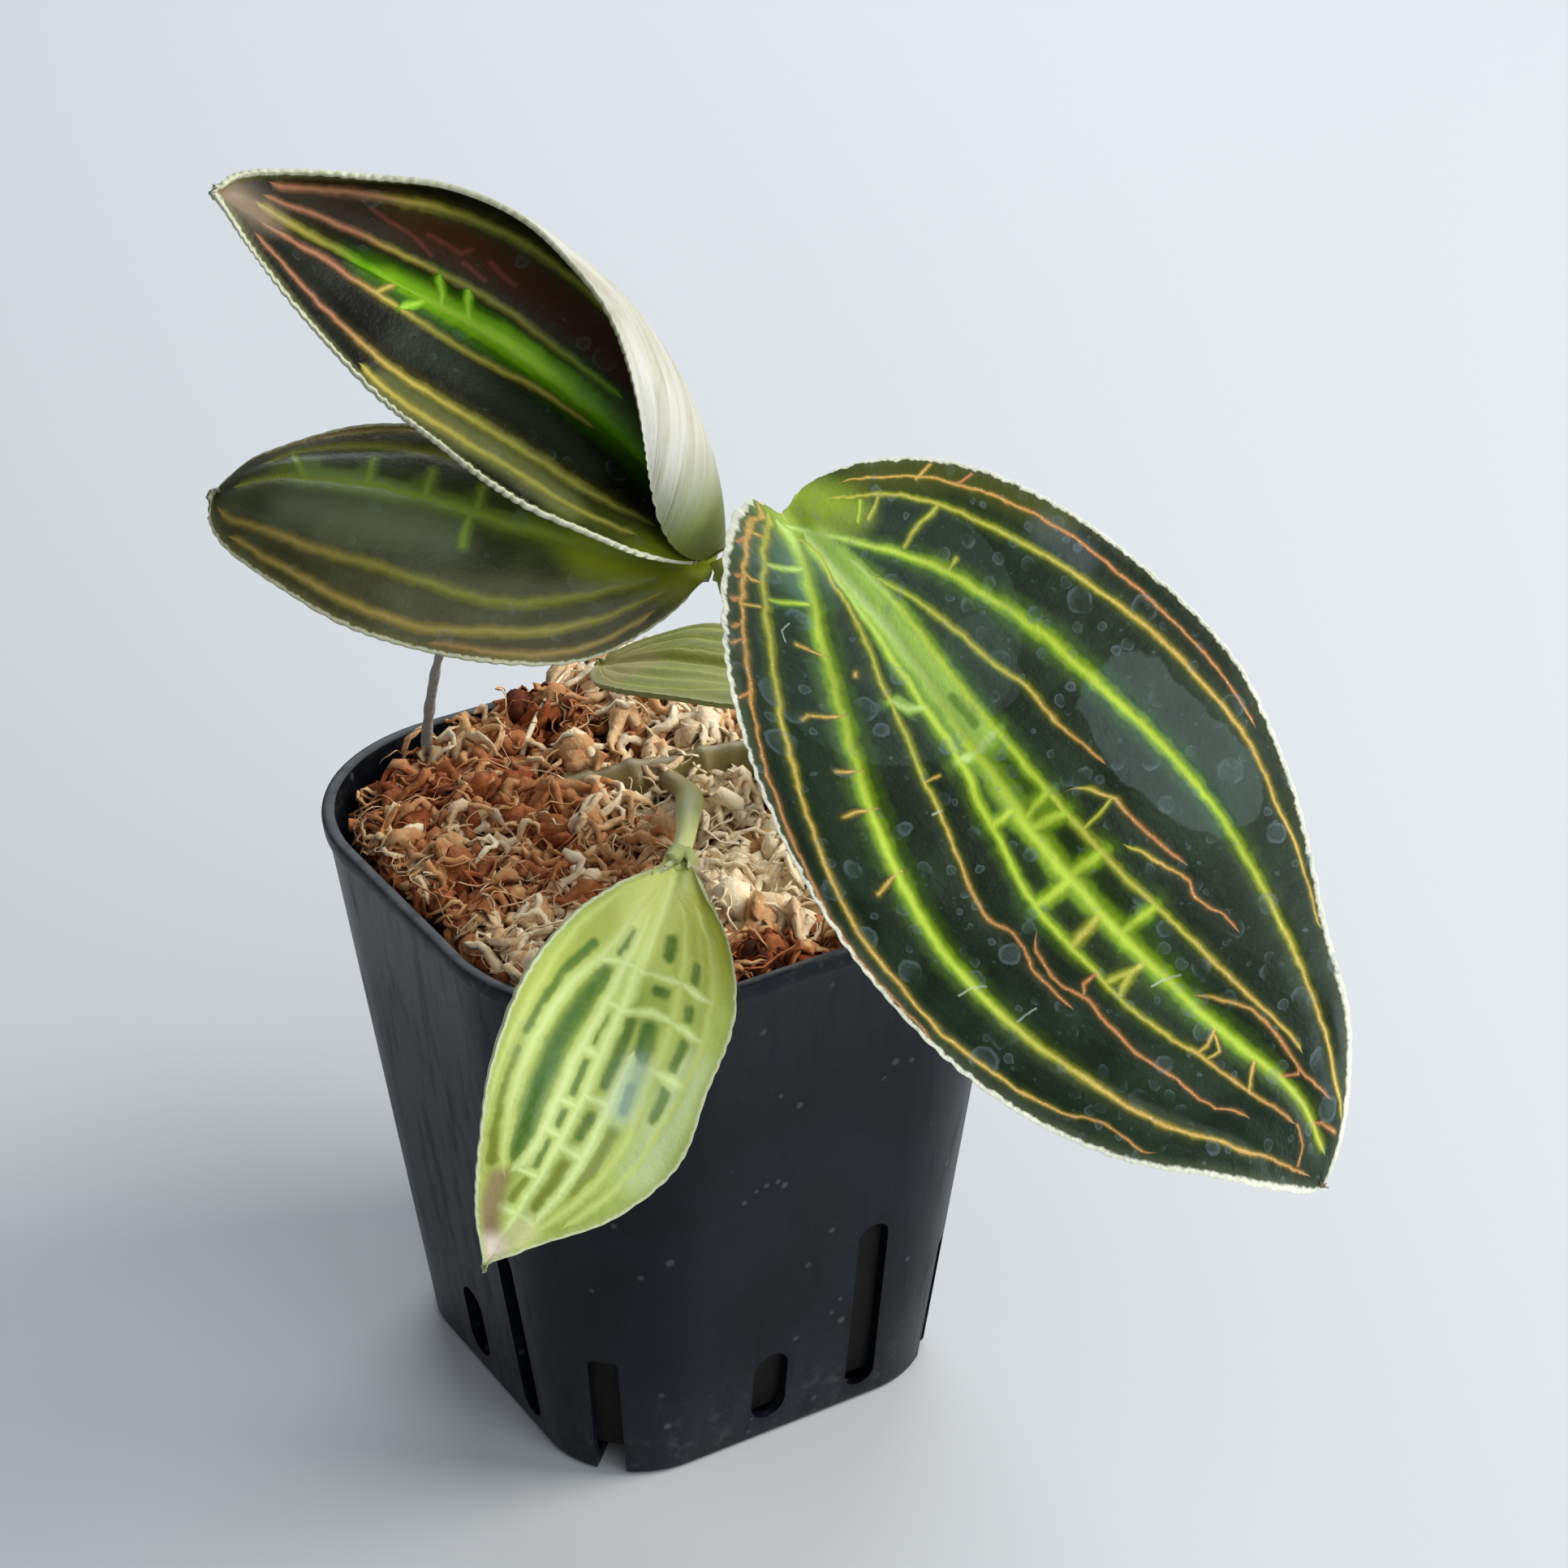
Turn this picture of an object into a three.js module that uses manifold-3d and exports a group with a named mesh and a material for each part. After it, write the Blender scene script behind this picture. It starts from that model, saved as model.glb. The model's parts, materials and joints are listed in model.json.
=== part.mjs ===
// A jewel orchid growing in its square nursery pot.
// Millimetres, +Z up. The origin is the centre of the pot's underside, and the pot's sides
// lie along X and Y. Every leaf is one closed blade of even thickness on a curved surface.

import * as THREE from 'three';
import { mergeVertices } from 'three/addons/utils/BufferGeometryUtils.js';
import Module from 'manifold-3d';

const wasm = await Module();
wasm.setup();

// ---------------------------------------------------------------- driving dimensions

const GAP = 0.3; // clearance between neighbouring pieces

const POT = {
  height: 71,
  topHalf: 34.6, // half the width at the mouth, under the lip
  baseHalf: 25,
  topCorner: 21.5, // corner radius at the mouth
  baseCorner: 12,
  wall: 1.3,
  floor: 1.6,
  lipHeight: 2.2,
  lipStep: 0.4, // how far the lip stands out from the wall
};

// Openings in each side of the pot: a tall slit, a short slot and a slit down the corner.
const TALL_SLIT = { width: 4, low: 2.5, high: 28, along: 10 };
const SHORT_SLOT = { width: 4.6, low: 3, high: 13, along: -2.7 };
const CORNER_SLIT = { width: 3.6, low: -2, high: 18, depth: 7 };
const DRAIN = { radius: 3, offset: 11 };

// The growing medium: its level, the heaps and hollows on it, and the strands that lie on top.
const BED = { level: 67.6, edgeDrop: 1.6 };
const HEAPS = [
  { x: -27, y: 8, spreadX: 14, spreadY: 17, rise: 5 },
  { x: -12, y: 15, spreadX: 14, spreadY: 13, rise: 2.5 },
  { x: -30, y: -30, spreadX: 10, spreadY: 10, rise: -3 },
];
const STRANDS = { count: 38, reach: 30.5, cornerReach: 15, seed: 11 };

const BLADE = { thickness: 0.7, keel: 0.55, keelWidth: 1.3, crenation: 0.32, pleat: 0.22 };

// A leaf's midrib starts at `base` and turns along its length. heading, pitch and roll are in
// degrees: the value at the base, what is gained evenly and what is gained late on the way.
// left and right are half widths at nine even stations, seen from above and towards the tip.
// fold and curl bend each half up across its width: at the base, and gained by the tip.
const LEAVES = {
  leaf_front_large: {
    base: [33, -5, 125],
    length: 86.5,
    heading: [13, 4.5, 29.5],
    pitch: [-33, -10, 5.5],
    roll: [-53, -30.5],
    tipShift: 6,
    left: [7.5, 16, 22, 25.5, 26, 21.5, 14.5, 8.5, 4],
    right: [2.5, 8, 15, 20, 22, 21, 17, 10.5, 4],
    foldLeft: [-12, -6],
    foldRight: [22.5, 0.5],
    curlLeft: [-21, -4],
    curlRight: [-5, 2],
    lobeLeft: 7.5,
    lobeRight: 18,
    firstStation: 0.03,
    rows: 72,
    columns: [-1, -0.75, -0.45, -0.2, 0, 0.25, 0.5, 0.78, 1],
    color: 0x16241a,
  },
  leaf_upper_folded: {
    base: [24.7, -7.6, 117],
    length: 63.5,
    heading: [-160, 71.5, -28],
    pitch: [48, -43.5, 22.5],
    roll: [0.5, 17.5],
    tipShift: 1,
    left: [6.5, 12, 16, 17.5, 16, 13, 8.5, 4, 1],
    right: [10, 17.5, 21.5, 22, 19.5, 16.5, 12.5, 9.5, 6],
    foldLeft: [5, -30],
    foldRight: [61.5, -127.5],
    curlLeft: [8, -16],
    curlRight: [211, -82.5],
    lobeLeft: -1,
    lobeRight: -1,
    firstStation: 0.05,
    rows: 56,
    columns: [-1, -0.66, -0.33, 0, 0.2, 0.4, 0.6, 0.8, 1],
    color: 0x1d2419,
  },
  leaf_left: {
    base: [23.3, -7.1, 114.6],
    length: 53.5,
    heading: [-112, -20.5, -17],
    pitch: [14, 31, -62.5],
    roll: [43, -15.5],
    tipShift: -2.5,
    left: [2, 7, 12, 14.5, 15.5, 15, 12.5, 9.5, 5],
    right: [4, 7.5, 10, 11, 11, 9.5, 7.5, 5, 4],
    foldLeft: [-1.5, 1.5],
    foldRight: [0.5, -5.5],
    curlLeft: [-14.5, 0.5],
    curlRight: [-12.5, -4.5],
    lobeLeft: -1.5,
    lobeRight: 4,
    firstStation: 0.04,
    rows: 48,
    columns: [-1, -0.7, -0.4, -0.2, 0, 0.3, 0.65, 1],
    color: 0x2b3018,
  },
  leaf_low_pale: {
    base: [24, -12, 82.7],
    length: 54.5,
    heading: [-37.5, -20, -42],
    pitch: [2, -82.5, 26],
    roll: [21, 41],
    tipShift: 0.5,
    left: [1.5, 3.5, 7.5, 10.5, 11, 12, 9, 3.5, 0.3],
    right: [1, 3, 7, 11, 13, 11.5, 8, 4.5, 1],
    foldLeft: [23.5, -38],
    foldRight: [25, -20.5],
    curlLeft: [3.5, -18.5],
    curlRight: [3.5, -10.5],
    lobeLeft: -5,
    lobeRight: -5,
    firstStation: 0.05,
    rows: 44,
    columns: [-1, -0.66, -0.33, 0, 0.33, 0.66, 1],
    color: 0xa9b45a,
  },
  leaf_back_pale: {
    base: [19, 7.5, 93.8],
    length: 31,
    heading: [-152, -12, 0],
    pitch: [6, -35, 0],
    roll: [4, 8],
    tipShift: 0.5,
    left: [3.5, 6, 7.5, 8, 8, 7.5, 6, 4, 2],
    right: [3, 5.5, 7, 7.5, 7.5, 7, 5.5, 4, 2],
    foldLeft: [14, -6],
    foldRight: [12, -6],
    curlLeft: [-16, 4],
    curlRight: [-18, 4],
    lobeLeft: 0,
    lobeRight: 0,
    firstStation: 0.05,
    rows: 30,
    columns: [-1, -0.6, -0.25, 0, 0.25, 0.6, 1],
    color: 0xb9bd62,
  },
};

// The creeping rhizome and the shoot that rises from it: points on the axis and radii there.
const SHOOT = [
  [-15, -18, 58, 1.5],
  [-13.5, -12.5, 67.5, 2.1],
  [-11, -7, 70.2, 2.4],
  [-9, -1.5, 71.3, 2.5],
  [-7, 3.7, 71.8, 2.4],
  [-3.5, 11, 73.2, 2.4],
  [3, 15.5, 76.5, 2.4],
  [12, 14.5, 82.5, 2.5],
  [19.5, 9.5, 88, 2.6],
  [24.5, 4.5, 94, 2.6],
  [27.3, -0.5, 101, 2.5],
  [28.3, -4.8, 108, 2.3],
  [27.8, -6.8, 112.5, 1.9],
];
const NODE_RINGS = { every: 8.5, swell: 0.45, width: 0.9 };

// Leaf stalks, each from a point inside the shoot up to just short of its blade.
const STALKS = {
  leaf_front_large: [[28.2, -5, 108.5], [28.9, -3, 113.5], [30.2, -1.3, 118.2], [31.8, -1.6, 121.7]],
  leaf_upper_folded: [[28, -6, 110.8], [27.3, -6.9, 113.7]],
  leaf_left: [[28.1, -4.6, 108.2], [27.4, -4.7, 111.6], [25.6, -5.2, 113.8]],
  leaf_low_pale: [[-7.5, 3.3, 71.8], [-1, 2.4, 73.6], [7, -1.2, 77.6], [15, -6, 80.9], [21.5, -10.1, 82.6]],
  leaf_back_pale: [[24.6, 4.6, 94], [23.7, 7.3, 93.5], [21.6, 8.6, 93.4]],
};
const STALK_RADIUS = { foot: 1.9, head: 1.35 };

// Fleshy roots inside the medium: where each leaves the rhizome and how far it goes.
const ROOTS = [
  { from: [-13, -11, 68.5], to: [-19, -8, 40], bend: [-20, -16, 56] },
  { from: [-10.5, -5.5, 70], to: [-4, -12, 30], bend: [-6, -11, 52] },
  { from: [-8, 1, 71], to: [-15, 8, 36], bend: [-15, 3, 55] },
  { from: [-5.5, 7, 72], to: [2, 8, 26], bend: [1, 9, 50] },
];
const ROOT_RADIUS = { foot: 1.1, tip: 0.6 };

// A dry stalk that stands in the medium by the left edge, and the hole it stands in.
const DRY_STALK = {
  path: [[-30, -15.5, 61], [-29, -16, 70], [-26.5, -16.6, 77], [-22.5, -17, 86], [-20, -16.4, 91]],
  radius: 1,
  tip: 0.45,
};

const COLORS = {
  pot: 0x14171b,
  bed: 0x9a6a44,
  shoot: 0x6f7436,
  dryStalk: 0xc9bfae,
};

// ---------------------------------------------------------------- solids and booleans

const toVector = (p) => new THREE.Vector3(p[0], p[1], p[2]);
const lerp = THREE.MathUtils.lerp;
const radians = THREE.MathUtils.degToRad;

function bufferFrom(positions, indices) {
  const geometry = new THREE.BufferGeometry();
  geometry.setAttribute('position', new THREE.Float32BufferAttribute(positions, 3));
  geometry.setIndex(indices);
  return geometry;
}

function toManifold(geometry) {
  const bare = geometry.clone();
  bare.deleteAttribute('normal');
  bare.deleteAttribute('uv');
  const merged = mergeVertices(bare, 1e-4);
  const vertProperties = new Float32Array(merged.attributes.position.array);
  const triVerts = new Uint32Array(merged.index.array);
  return new wasm.Manifold(new wasm.Mesh({ numProp: 3, vertProperties, triVerts }));
}

function fromManifold(solid) {
  const mesh = solid.getMesh();
  return bufferFrom(Array.from(mesh.vertProperties), Array.from(mesh.triVerts));
}

// The main body of a solid: loose scraps are dropped and sealed pockets are filled.
function mainBody(solid) {
  return solid.decompose().reduce((largest, part) => (part.volume() > largest.volume() ? part : largest));
}

// A closed solid through a list of rings of points, with flat ends round their centres.
function loft(rings) {
  const positions = rings.flat().flatMap((p) => [p.x, p.y, p.z]);
  const sides = rings[0].length;
  const indices = [];
  for (let ring = 0; ring < rings.length - 1; ring += 1) {
    for (let side = 0; side < sides; side += 1) {
      const next = (side + 1) % sides;
      const a = ring * sides + side;
      const b = ring * sides + next;
      indices.push(a, b, b + sides, a, b + sides, a + sides);
    }
  }
  const cap = (ring, flipped) => {
    const middle = rings[ring]
      .reduce((sum, p) => sum.add(p), new THREE.Vector3())
      .divideScalar(sides);
    const centre = positions.length / 3;
    positions.push(middle.x, middle.y, middle.z);
    for (let side = 0; side < sides; side += 1) {
      const a = ring * sides + side;
      const b = ring * sides + ((side + 1) % sides);
      indices.push(centre, flipped ? a : b, flipped ? b : a);
    }
  };
  cap(0, false);
  cap(rings.length - 1, true);
  return bufferFrom(positions, indices);
}

// A tube along a smooth curve. radiusAt and flatness shape its section.
function tube(points, steps, sides, radiusAt, flatness = 1) {
  const curve = new THREE.CatmullRomCurve3(points.map(toVector), false, 'centripetal');
  const { normals, binormals } = curve.computeFrenetFrames(steps, false);
  const rings = [];
  for (let step = 0; step <= steps; step += 1) {
    const along = step / steps;
    const centre = curve.getPointAt(along);
    const radius = radiusAt(along);
    const ring = [];
    for (let side = 0; side < sides; side += 1) {
      const angle = (2 * Math.PI * side) / sides;
      ring.push(
        centre
          .clone()
          .addScaledVector(normals[step], radius * Math.cos(angle))
          .addScaledVector(binormals[step], radius * flatness * Math.sin(angle)),
      );
    }
    rings.push(ring);
  }
  return loft(rings);
}

// Repeatable random numbers from 0 to 1.
function randomFrom(seed) {
  let state = seed;
  return () => {
    state = (state * 1664525 + 1013904223) % 4294967296;
    return state / 4294967296;
  };
}

// ---------------------------------------------------------------- pot

const CORNER_STEPS = 5;

function roundedSquare(half, corner, z) {
  const centre = half - corner;
  const ring = [];
  for (let quarter = 0; quarter < 4; quarter += 1) {
    for (let step = 0; step <= CORNER_STEPS; step += 1) {
      const angle = (quarter + step / CORNER_STEPS) * (Math.PI / 2);
      const signX = quarter === 0 || quarter === 3 ? 1 : -1;
      const signY = quarter < 2 ? 1 : -1;
      ring.push(
        new THREE.Vector3(
          signX * centre + corner * Math.cos(angle),
          signY * centre + corner * Math.sin(angle),
          z,
        ),
      );
    }
  }
  return ring;
}

// The pot's wall at height z, moved in by inset.
function wallRing(z, inset) {
  const along = z / POT.height;
  const half = lerp(POT.baseHalf, POT.topHalf, along) - inset;
  const corner = lerp(POT.baseCorner, POT.topCorner, along) - inset;
  return roundedSquare(half, corner, z);
}

// A slot with round ends, running through the wall that faces +X.
function slotCutter({ width, low, high, along }) {
  const r = width / 2;
  const outline = new THREE.Shape();
  outline.absarc(0, high - r, r, 0, Math.PI, false);
  outline.absarc(0, low + r, r, Math.PI, 2 * Math.PI, false);
  const cutter = new THREE.ExtrudeGeometry(outline, {
    depth: POT.topHalf,
    bevelEnabled: false,
    curveSegments: 4,
  });
  cutter.rotateX(Math.PI / 2);
  cutter.rotateZ(Math.PI / 2);
  cutter.translate(POT.baseHalf / 2, along, 0);
  return cutter;
}

function cornerCutter() {
  const { width, low, high, depth } = CORNER_SLIT;
  const reach = POT.topHalf;
  const cutter = new THREE.BoxGeometry(reach, width, high - low);
  const cornerDistance = (POT.baseHalf - POT.baseCorner) * Math.SQRT2 + POT.baseCorner;
  cutter.translate(cornerDistance - depth + reach / 2, 0, (high + low) / 2);
  cutter.rotateZ(Math.PI / 4);
  return cutter;
}

function potGeometry() {
  const lipLow = POT.height - POT.lipHeight;
  let pot = toManifold(
    loft([
      wallRing(0, 0),
      wallRing(lipLow, 0),
      wallRing(lipLow + POT.lipStep, -POT.lipStep),
      wallRing(POT.height, -POT.lipStep),
      wallRing(POT.height, POT.wall),
      wallRing(POT.floor, POT.wall),
    ]),
  );
  for (let side = 0; side < 4; side += 1) {
    const turn = (side * Math.PI) / 2;
    const hole = new THREE.CylinderGeometry(DRAIN.radius, DRAIN.radius, 4 * POT.floor, 12);
    hole.rotateX(Math.PI / 2);
    hole.translate(DRAIN.offset, 0, 0);
    for (const cutter of [slotCutter(TALL_SLIT), slotCutter(SHORT_SLOT), cornerCutter(), hole]) {
      pot = pot.subtract(toManifold(cutter.rotateZ(turn)));
    }
  }
  return fromManifold(pot);
}

// ---------------------------------------------------------------- leaves

// A smooth curve through half widths that start and end at zero.
function halfWidth(widths, station) {
  const knots = [-widths[0], 0, ...widths, 0, -widths[widths.length - 1]];
  const place = THREE.MathUtils.clamp(station, 0, 1) * (widths.length + 1);
  const index = Math.min(Math.floor(place), widths.length);
  const f = place - index;
  const [a, b, c, d] = knots.slice(index, index + 4);
  return b + 0.5 * f * (c - a + f * (2 * a - 5 * b + 4 * c - d + f * (3 * (b - c) + d - a)));
}

const MIDRIB_STEPS = 160;
const TIP_TURN = 0.14; // the last part of the midrib, which swings towards the tip
const NARROW = 3; // half width under which a half curls less, in millimetres

class LeafSurface {
  constructor(shape) {
    this.shape = shape;
    this.frames = [];
    const point = toVector(shape.base);
    let previous = null;
    for (let step = 0; step <= MIDRIB_STEPS; step += 1) {
      const frame = this.turnAt(step / MIDRIB_STEPS);
      if (previous) {
        const half = shape.length / MIDRIB_STEPS / 2;
        point.addScaledVector(previous.tangent, half).addScaledVector(frame.tangent, half);
      }
      frame.point = point.clone();
      this.frames.push(frame);
      previous = frame;
    }
  }

  turnAt(t) {
    const { heading, pitch, roll } = this.shape;
    const azimuth = radians(heading[0] + heading[1] * t + heading[2] * t * t);
    const climb = radians(pitch[0] + pitch[1] * t + pitch[2] * t * t);
    const bank = radians(roll[0] + roll[1] * t);
    const tangent = new THREE.Vector3(
      Math.cos(climb) * Math.cos(azimuth),
      Math.cos(climb) * Math.sin(azimuth),
      Math.sin(climb),
    );
    const level = new THREE.Vector3(Math.sin(azimuth), -Math.cos(azimuth), 0);
    const lift = level.clone().cross(tangent);
    const across = level.clone().multiplyScalar(Math.cos(bank)).addScaledVector(lift, Math.sin(bank));
    const up = lift.clone().multiplyScalar(Math.cos(bank)).addScaledVector(level, -Math.sin(bank));
    return { tangent, across, up };
  }

  frameAt(t) {
    const place = t * MIDRIB_STEPS;
    const index = Math.min(Math.floor(place), MIDRIB_STEPS - 1);
    const [low, high] = [this.frames[index], this.frames[index + 1]];
    const mix = (key) => low[key].clone().lerp(high[key], place - index);
    return { point: mix('point'), tangent: mix('tangent'), across: mix('across'), up: mix('up') };
  }

  // The point at station 0..1 along the leaf and side -1..1 across it; +1 is the right edge.
  at(station, side) {
    const t = (1 - Math.cos(Math.PI * station)) / 2;
    const { point, tangent, across, up } = this.frameAt(t);
    const shape = this.shape;
    const isRight = side > 0;
    const out = Math.abs(side);
    const width = halfWidth(isRight ? shape.right : shape.left, station);
    const foldRange = isRight ? shape.foldRight : shape.foldLeft;
    const curlRange = isRight ? shape.curlRight : shape.curlLeft;
    const lobe = isRight ? shape.lobeRight : shape.lobeLeft;
    const fold = radians(foldRange[0] + foldRange[1] * t);
    const fullCurl = radians(curlRange[0] + curlRange[1] * t) * Math.min(1, width / NARROW);
    const curl = Math.abs(fullCurl) < 1e-4 ? 1e-4 : fullCurl;
    const span = (width * (Math.sin(fold + curl * out) - Math.sin(fold))) / curl;
    const rise = (width * (Math.cos(fold) - Math.cos(fold + curl * out))) / curl;
    const back = lobe * Math.sin(Math.PI * station) * (1 - t) ** 4 * out * out;
    const nearTip = Math.max(0, (t - 1 + TIP_TURN) / TIP_TURN);
    return point
      .addScaledVector(across, shape.tipShift * nearTip ** 2 + Math.sign(side) * span)
      .addScaledVector(up, rise)
      .addScaledVector(tangent, -back);
  }

  normalAt(station, side) {
    const step = 0.004;
    const along = this.at(station + step, side).sub(this.at(station - step, side));
    const across = this.at(station, side + step).sub(this.at(station, side - step));
    return across.cross(along).normalize();
  }
}

// A closed blade: the same grid above and below the surface, joined round its edge. The edge
// is crenate, the blade is slightly pleated between its veins, and a keel runs under the midrib.
function bladeGeometry(shape) {
  const surface = new LeafSurface(shape);
  const { rows, columns } = shape;
  const count = columns.length;
  const top = [];
  const bottom = [];
  for (let row = 0; row <= rows; row += 1) {
    const station = lerp(shape.firstStation, 0.99, row / rows);
    columns.forEach((column, index) => {
      const isEdge = index === 0 || index === count - 1;
      const width = halfWidth(column > 0 ? shape.right : shape.left, station);
      const tooth = isEdge ? ((row % 2 ? 1 : -1) * BLADE.crenation) / Math.max(width, 2) : 0;
      const side = column * (1 + tooth);
      const inner = THREE.MathUtils.clamp(width / NARROW, 0, 1);
      const pleat = isEdge ? 0 : (index % 2 ? 1 : -1) * (BLADE.pleat / 2) * inner;
      const fromMidrib = (column * width) / BLADE.keelWidth;
      const keel = BLADE.keel * (1 - station) * Math.exp(-(fromMidrib ** 2));
      const normal = surface.normalAt(station, side);
      const middle = surface.at(station, side).addScaledVector(normal, pleat);
      top.push(middle.clone().addScaledVector(normal, BLADE.thickness / 2));
      bottom.push(middle.clone().addScaledVector(normal, -BLADE.thickness / 2 - keel));
    });
  }
  const positions = [...top, ...bottom].flatMap((p) => [p.x, p.y, p.z]);
  const under = top.length;
  const indices = [];
  for (let row = 0; row < rows; row += 1) {
    for (let column = 0; column < count - 1; column += 1) {
      const a = row * count + column;
      const [b, c, d] = [a + 1, a + 1 + count, a + count];
      indices.push(a, b, c, a, c, d);
      indices.push(under + a, under + c, under + b, under + a, under + d, under + c);
    }
  }
  const edge = [];
  for (let column = 0; column < count; column += 1) edge.push(column);
  for (let row = 1; row <= rows; row += 1) edge.push(row * count + count - 1);
  for (let column = count - 2; column >= 0; column -= 1) edge.push(rows * count + column);
  for (let row = rows - 1; row > 0; row -= 1) edge.push(row * count);
  edge.forEach((a, index) => {
    const b = edge[(index + 1) % edge.length];
    indices.push(a, under + a, under + b, a, under + b, b);
  });
  return bufferFrom(positions, indices);
}

// ---------------------------------------------------------------- shoot, leaf stalks and roots

// Where a leaf stalk ends: under the nodding front leaf, and short of the base of the others.
function stalkEnd(name) {
  const shape = LEAVES[name];
  const frame = new LeafSurface(shape).frameAt(0);
  if (name === 'leaf_front_large') {
    const clear = BLADE.thickness / 2 + BLADE.keel + GAP;
    return frame.point.addScaledVector(frame.tangent, 1.4).addScaledVector(frame.up, -clear);
  }
  return frame.point.addScaledVector(frame.tangent, -GAP);
}

// The shoot, its stalks and its roots as one solid, each radius made larger by extra.
function shootSolid(extra) {
  const axis = SHOOT.map((p) => p.slice(0, 3));
  const shootLength = new THREE.CatmullRomCurve3(axis.map(toVector)).getLength();
  const shootRadius = (along) => {
    const place = along * (SHOOT.length - 1);
    const index = Math.min(Math.floor(place), SHOOT.length - 2);
    const base = lerp(SHOOT[index][3], SHOOT[index + 1][3], place - index);
    const fromRing = ((along * shootLength + NODE_RINGS.every / 2) % NODE_RINGS.every) - NODE_RINGS.every / 2;
    return base + extra + NODE_RINGS.swell * Math.exp(-((fromRing / NODE_RINGS.width) ** 2));
  };
  let solid = toManifold(tube(axis, 50, 7, shootRadius));
  for (const [name, path] of Object.entries(STALKS)) {
    const end = stalkEnd(name);
    const points = [...path, end.toArray()];
    const steps = Math.max(6, Math.round(toVector(path[0]).distanceTo(end) / 3));
    const radiusAt = (along) => lerp(STALK_RADIUS.foot, STALK_RADIUS.head, along) + extra;
    solid = solid.add(toManifold(tube(points, steps, 6, radiusAt)));
  }
  for (const root of ROOTS) {
    const radiusAt = (along) => lerp(ROOT_RADIUS.foot, ROOT_RADIUS.tip, along) + extra;
    solid = solid.add(toManifold(tube([root.from, root.bend, root.to], 5, 5, radiusAt)));
  }
  return solid;
}

function dryStalkSolid(extra) {
  const radiusAt = (along) => lerp(DRY_STALK.radius, DRY_STALK.tip, along) + extra;
  return toManifold(tube(DRY_STALK.path, 10, 6, radiusAt));
}

// ---------------------------------------------------------------- growing medium

function bedHeight(x, y) {
  return HEAPS.reduce((height, heap) => {
    const dx = (x - heap.x) / heap.spreadX;
    const dy = (y - heap.y) / heap.spreadY;
    return height + heap.rise * Math.exp(-dx * dx - dy * dy);
  }, BED.level);
}

// Coarse lumps on the bed, up to a millimetre high.
const lumps = (x, y) => 0.6 * Math.sin(0.55 * x + 1.3) * Math.cos(0.62 * y) + 0.4 * Math.sin(0.9 * (x + y));

function bedSolid() {
  const inset = POT.wall + GAP;
  const rim = wallRing(POT.height, inset);
  const crown = [1, 0.86, 0.68, 0.48, 0.26].map((scale) =>
    rim.map((p) => {
      const [x, y] = [p.x * scale, p.y * scale];
      const drop = scale === 1 ? BED.edgeDrop : 0;
      return new THREE.Vector3(x, y, bedHeight(x, y) + lumps(x, y) - drop);
    }),
  );
  const edge = crown[0].map((p, index) => {
    const floorPoint = wallRing(POT.floor + GAP, inset)[index];
    const along = (p.z - floorPoint.z) / (POT.height - floorPoint.z);
    return floorPoint.clone().lerp(rim[index], Math.min(along, 1)).setZ(p.z);
  });
  return toManifold(loft([wallRing(POT.floor + GAP, inset), edge, ...crown.slice(1)]));
}

// One curly strand: an arch that leaves the bed, bends sideways and dives in again.
function strandSolid(random, x, y) {
  const heading = 2 * Math.PI * random();
  const length = 8 + 9 * random();
  const bend = (random() - 0.5) * 1.4;
  const height = 1.6 + 2.6 * random();
  const width = 1.1 + 0.8 * random();
  const points = [];
  for (let step = 0; step <= 4; step += 1) {
    const along = step / 4 - 0.5;
    const angle = heading + bend * along * 2;
    const px = x + length * along * Math.cos(angle);
    const py = y + length * along * Math.sin(angle);
    const lift = height * Math.cos(Math.PI * along) ** 0.8 - 2 * (1 - Math.cos(Math.PI * along));
    points.push([px, py, bedHeight(px, py) + lift - 0.6]);
  }
  return { points, solid: toManifold(tube(points, 5, 4, () => width, 0.7)) };
}

function isInsidePot([x, y]) {
  const { reach, cornerReach } = STRANDS;
  const dx = Math.max(Math.abs(x) - cornerReach, 0);
  const dy = Math.max(Math.abs(y) - cornerReach, 0);
  return Math.hypot(dx, dy) < reach - cornerReach;
}

function mediumGeometry() {
  const random = randomFrom(STRANDS.seed);
  let bed = bedSolid();
  let placed = 0;
  while (placed < STRANDS.count) {
    const x = (random() * 2 - 1) * STRANDS.reach;
    const y = (random() * 2 - 1) * STRANDS.reach;
    const strand = strandSolid(random, x, y);
    if (strand.points.every(isInsidePot)) {
      bed = bed.add(strand.solid);
      placed += 1;
    }
  }
  const holes = shootSolid(GAP + 0.1).add(dryStalkSolid(GAP));
  return fromManifold(mainBody(mainBody(bed).subtract(holes)));
}

// ---------------------------------------------------------------- assembly

function piece(name, geometry, color, roughness) {
  const material = new THREE.MeshStandardMaterial({ color, roughness, metalness: 0 });
  const mesh = new THREE.Mesh(geometry, material);
  mesh.name = name;
  return mesh;
}

const group = new THREE.Group();
group.add(piece('pot', potGeometry(), COLORS.pot, 0.45));
group.add(piece('growing_medium', mediumGeometry(), COLORS.bed, 0.95));
group.add(piece('shoot_and_roots', fromManifold(shootSolid(0)), COLORS.shoot, 0.55));
group.add(piece('dry_stalk', fromManifold(dryStalkSolid(0)), COLORS.dryStalk, 0.8));
for (const [name, shape] of Object.entries(LEAVES)) {
  group.add(piece(name, bladeGeometry(shape), shape.color, 0.4));
}

export default group;
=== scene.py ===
"""A jewel orchid in its square nursery pot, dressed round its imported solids.

Lengths in the classes are millimetres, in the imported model's own frame: +Z up, and the origin
at the centre of the pot's underside. Meshes are written in metres. Colours are display values
from 0 to 255. A leaf's markings are placed on the leaf laid flat: x runs along the midrib from
the base, y across it, with the right half above zero.
"""

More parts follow.
